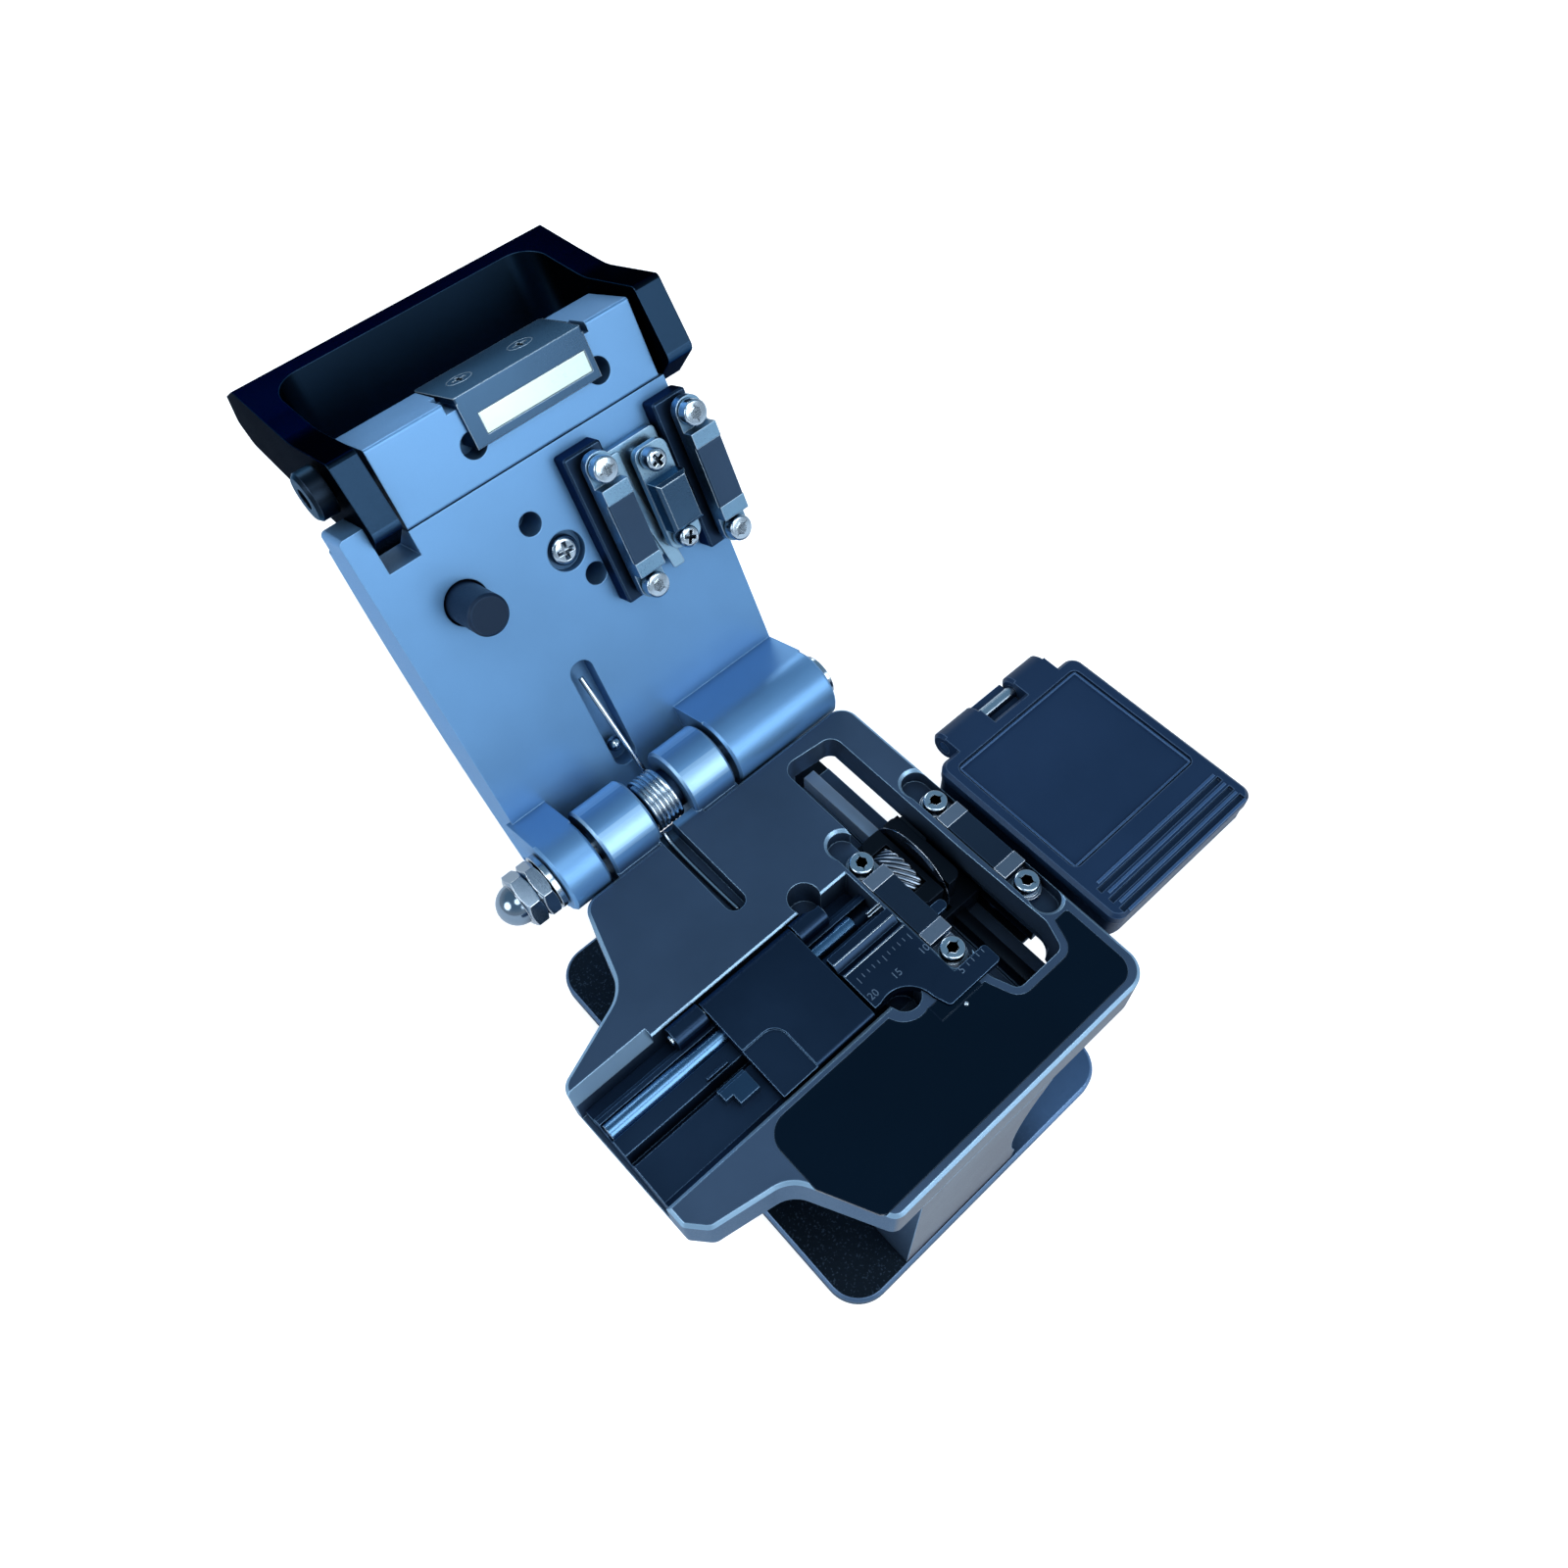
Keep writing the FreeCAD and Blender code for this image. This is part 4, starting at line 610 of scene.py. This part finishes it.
def makeSpring(look):
    steps = int(look["coils"] * look["stepsPerCoil"])
    points = [look["legTip"], look["legBend"]]
    for step in range(steps + 1):
        angle = radians(look["startAngle"]) - 2 * pi * step / look["stepsPerCoil"]
        x = look["right"] + (look["left"] - look["right"]) * step / steps
        points.append((x, look["radius"] * cos(angle), look["radius"] * sin(angle)))
    coils = wireThrough(points, look["wire"])
    bmesh.ops.transform(coils, matrix=lidSpot(0, 0, 0), verts=coils.verts)
    addPiece("spring_coils", coils, "bright_steel", "lid", ["torsion_spring"])
    foot = wireThrough(look["footPoints"], look["wire"])
    addPiece("spring_foot", foot, "bright_steel", "base")
    seat = bmesh.new()
    place = lidSpot(*look["seatPlace"])
    around, upward = look["seatSides"]
    bmesh.ops.create_uvsphere(seat, u_segments=around, v_segments=upward,
                              radius=look["seatRadius"], matrix=place)
    addPiece("spring_seat", seat, "bright_steel", "lid")


makeSpring(springShape)
print("spring wound")


# Socket head screws of the clamps

capScrew = {
    "sides": 48,
    "radius": 1.9,
    "rim": 0.34,
    "rimSteps": 4,
    "socket": 0.68,
    "lead": 0.14,
    "depth": 1.0,
}


def capHead(look, height):
    # Rounded head with a hexagon socket, standing on z = 0
    shape = bmesh.new()
    loop = ring(shape, look["sides"], look["radius"], 0.0)[0]
    bmesh.ops.contextual_create(shape, geom=loop)
    loop = raiseLoop(shape, loop, height - look["rim"])[0]
    reach, level = look["radius"], 0.0
    for step in range(1, look["rimSteps"] + 1):
        angle = pi / 2 * step / look["rimSteps"]
        nextReach = look["radius"] - look["rim"] * (1 - cos(angle))
        nextLevel = look["rim"] * sin(angle)
        loop = raiseLoop(shape, loop, nextLevel - level, nextReach / reach)[0]
        reach, level = nextReach, nextLevel
    mouth = hexRing(shape, look["sides"], look["socket"] + look["lead"], height)[0]
    bmesh.ops.bridge_loops(shape, edges=list({*loop, *mouth}))
    narrow = look["socket"] / (look["socket"] + look["lead"])
    mouth = raiseLoop(shape, mouth, -look["lead"], narrow)[0]
    mouth = raiseLoop(shape, mouth, look["lead"] - look["depth"])[0]
    bmesh.ops.contextual_create(shape, geom=mouth)
    return shape


clampScrews = {
    "columns": (9.05, 24.75),
    "rows": (0.85, -17.85),
    "seat": 48.55,
    "height": 1.6,
    "lidColumns": (8.95, 24.85),
    "lidRows": (48.25, 29.55),
    "lidSeat": -2.1,
    "lidHeight": 1.8,
    "sleeve": 1.3,
    "sleeveLength": 2.9,
    "twist": (7, 3),
    "lidTwist": (5, 3),
}


def makeClampScrews(look):
    lower = bmesh.new()
    head = capHead(capScrew, look["height"])
    across, along = look["twist"]
    for x in look["columns"]:
        for y in look["rows"]:
            twist = Matrix.Rotation(radians(x * across + y * along), 4, "Z")
            joinInto(lower, head, Matrix.Translation((x, y, look["seat"])) @ twist)
    head.free()
    addPiece("lower_clamp_heads", lower, "bright_steel", "base", ["lower_clamp_screws"])
    upper = bmesh.new()
    head = capHead(capScrew, look["lidHeight"])
    addSleeve(head, look["sleeve"], look["sleeveLength"])
    across, along = look["lidTwist"]
    for x in look["lidColumns"]:
        for u in look["lidRows"]:
            twist = Matrix.Rotation(radians(x * across + u * along), 4, "Z")
            joinInto(upper, head, lidSpot(x, u, look["lidSeat"]) @ twist)
    head.free()
    addPiece("upper_clamp_heads", upper, "bright_steel", "lid", ["upper_clamp_screws"])


makeClampScrews(clampScrews)
print("socket screws placed")


# Cross recessed screws of the lid

crossScrews = {
    "anvil": {
        "places": ((16.9, 45.2, -3.3), (16.9, 32.7, -3.3)),
        "radius": 1.65, "height": 2.3, "sleeve": 1.2, "sleeveLength": 3.1,
    },
    "lid": {
        "places": ((1.3, 38.3, -9.6),),
        "radius": 2.25, "height": 1.5, "sleeve": 1.25, "sleeveLength": 1.0,
    },
    "sides": 40,
    "rim": 0.34,
    "rimSteps": 4,
    "arm": 0.62,
    "width": 0.17,
    "sink": 0.55,
    "floorShare": 0.6,
    "twist": (20, 4),
}


def crossHead(look, size):
    # Domed head with a cross recess, standing on z = 0
    radius, height = size["radius"], size["height"]
    shape = bmesh.new()
    outer = ring(shape, look["sides"], radius, 0.0)[0]
    bmesh.ops.contextual_create(shape, geom=outer)
    rim = raiseLoop(shape, outer, height)[0]
    bmesh.ops.contextual_create(shape, geom=rim)
    lip = []
    for edge in shape.edges:
        if all(abs(vert.co.z - height) < nearlySame for vert in edge.verts):
            lip.append(edge)
    bmesh.ops.bevel(shape, geom=lip, offset=radius * look["rim"], segments=look["rimSteps"],
                    profile=0.5, affect="EDGES", material=-1)
    long = radius * look["arm"]
    wide = radius * look["width"]
    for axis in ((1, 0, 0), (0, 1, 0)):
        for offset in (-long, -wide, wide, long):
            top = [face for face in shape.faces if face.calc_center_median().z > height - justBelow]
            edges = (edge for face in top for edge in face.edges)
            verts = (vert for face in top for vert in face.verts)
            items = {*top, *edges, *verts}
            spot = tuple(part * offset for part in axis)
            bmesh.ops.bisect_plane(shape, geom=list(items), plane_co=spot, plane_no=axis)
    cross = []
    for face in shape.faces:
        middle = face.calc_center_median()
        if middle.z < height - justBelow:
            continue
        near, far = sorted((abs(middle.x), abs(middle.y)))
        if near < wide and far < long:
            cross.append(face)
    made = bmesh.ops.extrude_face_region(shape, geom=cross)["geom"]
    floor = [item for item in made if isinstance(item, bmesh.types.BMVert)]
    bmesh.ops.delete(shape, geom=cross, context="FACES_ONLY")
    share = look["floorShare"]
    bmesh.ops.scale(shape, vec=(share, share, 1), verts=floor)
    bmesh.ops.translate(shape, vec=(0, 0, -height * look["sink"]), verts=floor)
    addSleeve(shape, size["sleeve"], size["sleeveLength"])
    return shape


def makeCrossScrews(look):
    start, along = look["twist"]
    for name, replaced in (("anvil", "anvil_screws"), ("lid", "lid_screw")):
        size = look[name]
        joined = bmesh.new()
        head = crossHead(look, size)
        for x, u, v in size["places"]:
            twist = Matrix.Rotation(radians(start + u * along), 4, "Z")
            joinInto(joined, head, lidSpot(x, u, v) @ twist)
        head.free()
        addPiece(name + "_cross_heads", joined, "bright_steel", "lid", [replaced])


makeCrossScrews(crossScrews)
print("cross screws placed")


# Ribbed dial of the blade

dialShape = {
    "left": 11.9,
    "width": 3.2,
    "radius": 5.6,
    "ribs": 25,
    "ribDepth": 0.42,
    "lean": 40.0,
    "bore": 1.45,
    "hub": 2.0,
    "hubWidth": 1.45,
    "centre": (-2.5, 42.3),
    "sidesPerRib": 6,
    "cornerShare": 0.985,
    "faceShare": 0.93,
    "chamfer": 0.3,
    "leanSteps": 6,
    "crease": 25,
}


def makeDial(look):
    sides = look["ribs"] * look["sidesPerRib"]
    valley = 1 - look["ribDepth"] / look["radius"]
    reaches = (1.0, 1.0, 1.0, valley, valley, look["cornerShare"])
    shape = bmesh.new()
    outer, corners = ring(shape, sides, look["radius"], 0.0)
    for index, corner in enumerate(corners):
        reach = reaches[index % look["sidesPerRib"]]
        bmesh.ops.scale(shape, vec=(reach, reach, 1), verts=[corner])
    bore = ring(shape, sides, look["bore"], 0.0)[0]
    mouth = raiseLoop(shape, outer, 0.0, look["faceShare"])[0]
    bmesh.ops.bridge_loops(shape, edges=list({*mouth, *bore}))
    bmesh.ops.translate(shape, vec=(0, 0, look["chamfer"]),
                        verts=list({vert for edge in outer for vert in edge.verts}))
    steps = look["leanSteps"]
    climb = (look["width"] - 2 * look["chamfer"]) / steps
    for step in range(steps):
        outer, corners = raiseLoop(shape, outer, climb)
        turn = Matrix.Rotation(radians(look["lean"] / steps), 3, "Z")
        bmesh.ops.rotate(shape, cent=(0, 0, 0), matrix=turn, verts=corners)
    outer = raiseLoop(shape, outer, look["chamfer"], look["faceShare"])[0]
    hub = ring(shape, sides, look["hub"], look["width"])[0]
    bmesh.ops.bridge_loops(shape, edges=list({*outer, *hub}))
    hub = raiseLoop(shape, hub, look["hubWidth"])[0]
    hub = raiseLoop(shape, hub, 0.0, look["bore"] / look["hub"])[0]
    raiseLoop(shape, hub, -look["width"] - look["hubWidth"])
    place = Matrix.Translation((look["left"], *look["centre"]))
    stand = place @ Matrix.Rotation(radians(90), 4, "Y")
    bmesh.ops.transform(shape, matrix=stand, verts=shape.verts)
    addPiece("dial_ribbed", shape, "knurled_grey", "blade", ["blade_dial"], crease=look["crease"])


makeDial(dialShape)
print("dial ribbed")


# Nuts on the left end of the hinge pin

nutShape = {
    "across": 8.0,
    "twist": 12.0,
    "lockRight": -27.7,
    "lockWidth": 2.3,
    "capWidth": 2.6,
    "domeRadius": 3.3,
    "domeSides": (48, 24),
    "sides": 72,
    "endShare": 0.96,
    "chamfer": 0.12,
    "chamferSlope": 0.5,
}


def hexNut(look, width):
    # Six-sided nut from z = 0 with both ends chamfered in the round
    half = look["across"] / 2
    shape = bmesh.new()
    loop = ring(shape, look["sides"], half * look["endShare"], 0.0)[0]
    bmesh.ops.contextual_create(shape, geom=loop)
    low, corners = raiseLoop(shape, loop, 0.0)
    for corner in corners:
        angle = atan2(corner.co.y, corner.co.x) % (pi / 3) - pi / 6
        reach = half / cos(angle)
        grow = reach / corner.co.xy.length
        rise = look["chamfer"] + (reach - half) * look["chamferSlope"]
        bmesh.ops.scale(shape, vec=(grow, grow, 1), verts=[corner])
        bmesh.ops.translate(shape, vec=(0, 0, rise), verts=[corner])
    high, corners = raiseLoop(shape, low, 0.0)
    for corner in corners:
        bmesh.ops.translate(shape, vec=(0, 0, width - 2 * corner.co.z), verts=[corner])
    top, corners = raiseLoop(shape, high, 0.0)
    for corner in corners:
        shrink = half * look["endShare"] / corner.co.xy.length
        bmesh.ops.scale(shape, vec=(shrink, shrink, 1), verts=[corner])
        bmesh.ops.translate(shape, vec=(0, 0, width - corner.co.z), verts=[corner])
    bmesh.ops.contextual_create(shape, geom=top)
    return shape


def makeNuts(look):
    joined = bmesh.new()
    turn = Matrix.Rotation(radians(-90), 4, "Y") @ Matrix.Rotation(radians(look["twist"]), 4, "Z")
    capRight = look["lockRight"] - look["lockWidth"]
    for right, width in ((look["lockRight"], look["lockWidth"]), (capRight, look["capWidth"])):
        nut = hexNut(look, width)
        joinInto(joined, nut, Matrix.Translation((right, *hingePlace[1:])) @ turn)
        nut.free()
    dome = bmesh.new()
    around, upward = look["domeSides"]
    bmesh.ops.create_uvsphere(dome, u_segments=around, v_segments=upward, radius=look["domeRadius"])
    everything = [*dome.verts, *dome.edges, *dome.faces]
    cut = bmesh.ops.bisect_plane(dome, geom=everything, plane_co=(0, 0, 0), plane_no=(0, 0, -1),
                                 clear_outer=True)["geom_cut"]
    rim = [item for item in cut if isinstance(item, bmesh.types.BMEdge)]
    bmesh.ops.contextual_create(dome, geom=rim)
    left = capRight - look["capWidth"]
    joinInto(joined, dome, Matrix.Translation((left, *hingePlace[1:])) @ turn)
    dome.free()
    addPiece("hinge_nut_pair", joined, "bright_steel", "base", ["hinge_nuts"], look="nut_chrome")


makeNuts(nutShape)
print("nuts placed")


# Marks and ridges on the scale plate and the guide

scaleMarks = {
    "height": 50.5,
    "first": -4.4,
    "count": 11,
    "shortTick": 0.7,
    "longTick": 1.1,
    "rear": -12.0,
    "stroke": 0.13,
    "ink": 0.02,
    "inkRoot": 0.05,
    "longEvery": 5,
    "numbers": (("20", -4.4, -15.9), ("15", 0.2, -15.9), ("10", 5.7, -15.9), ("5", 7.3, -21.7)),
    "digitSize": 1.65,
    "frontTicks": (8.6, 9.6, 10.6, 11.6),
    "frontRear": -20.8,
}

ridges = {
    "groove": (((-5.5, 6.3), (-8.60, -8.34)), ((-5.5, 6.3), (-10.86, -10.60))),
    "short": (((3.5, 6.2), (-5.95, -5.70)), ((3.4, 6.1), (-6.45, -6.20))),
    "top": 50.62,
    "stopRib": ((-29.1, -25.3), (-8.45, -7.95), (48.0, 48.75)),
    "panelPin": (4.3, -25.0, 49.9),
    "ribHeight": 0.3,
    "ribRounding": 0.06,
    "stopRounding": 0.15,
    "pinRadius": 0.42,
    "pinSides": (24, 16),
}


def makeScale(look):
    ink = bmesh.new()
    top = (look["height"] - look["inkRoot"], look["height"] + look["ink"])
    half = look["stroke"] / 2
    for index in range(look["count"]):
        x = look["first"] + index
        length = look["longTick"] if index % look["longEvery"] == 0 else look["shortTick"]
        bar(ink, (x - half, x + half), (look["rear"] - length, look["rear"]), top)
    for x in look["frontTicks"]:
        bar(ink, (x - half, x + half), (look["frontRear"] - look["shortTick"], look["frontRear"]), top)
    for digits, x, y in look["numbers"]:
        words = bpy.data.curves.new("digits", "FONT")
        words.body = digits
        words.size = look["digitSize"]
        words.align_x = "CENTER"
        words.extrude = look["ink"]
        shape = fromCurve(words)
        joinInto(ink, shape, Matrix.Translation((x, y, look["height"])))
        shape.free()
    addPiece("scale_marks", ink, "black_anodised", "base", look="scale_ink")


def makeRidges(look):
    ribs = bmesh.new()
    for name in ("groove", "short"):
        for x, y in look[name]:
            level = (look["top"] - look["ribHeight"], look["top"])
            bar(ribs, x, y, level, look["ribRounding"])
    addPiece("guide_ridges", ribs, "grey_steel", "base", look="fitting_grey")
    rib = bmesh.new()
    bar(rib, *look["stopRib"], rounding=look["stopRounding"])
    addPiece("stop_rib", rib, "black_anodised", "base")
    pin = bmesh.new()
    place = Matrix.Translation(look["panelPin"])
    around, upward = look["pinSides"]
    bmesh.ops.create_uvsphere(pin, u_segments=around, v_segments=upward,
                              radius=look["pinRadius"], matrix=place)
    addPiece("panel_pin", pin, "bright_steel", "base")


makeScale(scaleMarks)
makeRidges(ridges)
print("scale marked")


# Blade rail in a light and a dark half: one steel rail, painted as a lit and a shaded copy. The tail,
# flange and skirt are guesses: the solids have none of them, they close the view through the blade
# pocket, and they are painted black as shade

underDeck = {
    "railRear": ((17.9, 20.1), (0.0, 23.4), (34.4, 37.6)),
    "railFront": ((17.9, 20.1), (-31.0, 0.0), (34.4, 37.6)),
    "tail": ((3.8, 23.5), (23.2, 27.4), (31.5, 34.4)),
    "skirt": ((23.0, 29.0), (-22.3, -9.5), (38.6, 40.9)),
    "flange": ((23.4, 28.6), (-20.4, 9.1), (31.5, 32.2)),
    "rounding": 0.2,
}


def makeUnderDeck(look):
    plans = (
        ("rail_rear", "railRear", "grey_steel", "rail_painted_lit", ["blade_rail"]),
        ("rail_front", "railFront", "grey_steel", "black_and_painted_shade", ()),
        ("bed_tail", "tail", "slate_anodised", "black_and_painted_shade", ()),
        ("bed_flange", "flange", "slate_anodised", "black_and_painted_shade", ()),
        ("bracket_skirt", "skirt", "black_anodised", "black_and_painted_shade", ()),
    )
    for name, sizes, slot, finish, replaced in plans:
        piece = bmesh.new()
        bar(piece, *look[sizes], rounding=look["rounding"])
        addPiece(name, piece, slot, "base", replaced, look=finish)


makeUnderDeck(underDeck)
print("rail and its surroundings placed")


# Front panel again: the solid's left front corner overhangs the deck and is cut off here, and a tongue
# that the solid lacks runs up to the scale plate

panelChanges = {
    "trims": (
        ((-28.4, -29.3, 0.0), (-0.897, -0.442, 0.0)),
        ((-24.5, -37.2, 0.0), (-0.60, -0.80, 0.0)),
    ),
    "tongue": ((0.0, 8.0), (-24.6, -21.9), (49.7, 50.09)),
}


def makePanel(look):
    source = nodes["deck_panel"]
    sheet = bmesh.new()
    sheet.from_mesh(source.data)
    bmesh.ops.transform(sheet, matrix=Matrix.Scale(1 / mm, 4) @ source.matrix_world, verts=sheet.verts)
    for place, outward in look["trims"]:
        everything = [*sheet.verts, *sheet.edges, *sheet.faces]
        cut = bmesh.ops.bisect_plane(sheet, geom=everything, plane_co=place, plane_no=outward,
                                     clear_outer=True)
        rim = [item for item in cut["geom_cut"] if isinstance(item, bmesh.types.BMEdge)]
        bmesh.ops.contextual_create(sheet, geom=rim)
    bar(sheet, *look["tongue"])
    addPiece("panel_sheet", sheet, "panel_gloss", "base", ["deck_panel"])


makePanel(panelChanges)
print("panel trimmed")


# Beads around the sunk field and between the finger grooves of the scrap box's lid, coloured lighter
# than the lid as a painted highlight

lidBeads = {
    "field": ((31.2, 59.0), (-21.6, 2.8)),
    "inset": 0.3,
    "width": 0.36,
    "fieldLevel": (49.5, 49.95),
    "ribs": (-25.2, -27.3, -29.4, -31.1),
    "ribEnds": (31.8, 59.0),
    "ribWidth": 0.5,
    "ribLevel": (50.1, 50.36),
    "rounding": 0.12,
}


def makeLidBeads(look):
    beads = bmesh.new()
    (left, right), (front, rear) = look["field"]
    inset, width = look["inset"], look["width"]
    left, right, front, rear = left + inset, right - inset, front + inset, rear - inset
    level, rounding = look["fieldLevel"], look["rounding"]
    for y in (front, rear - width):
        bar(beads, (left, right), (y, y + width), level, rounding)
    for x in (left, right - width):
        bar(beads, (x, x + width), (front, rear), level, rounding)
    for y in look["ribs"]:
        half = look["ribWidth"] / 2
        bar(beads, look["ribEnds"], (y - half, y + half), look["ribLevel"], rounding)
    addPiece("box_lid_beads", beads, "box_plastic", "box_lid", look="highlit_beads")


makeLidBeads(lidBeads)
print("box lid beaded")
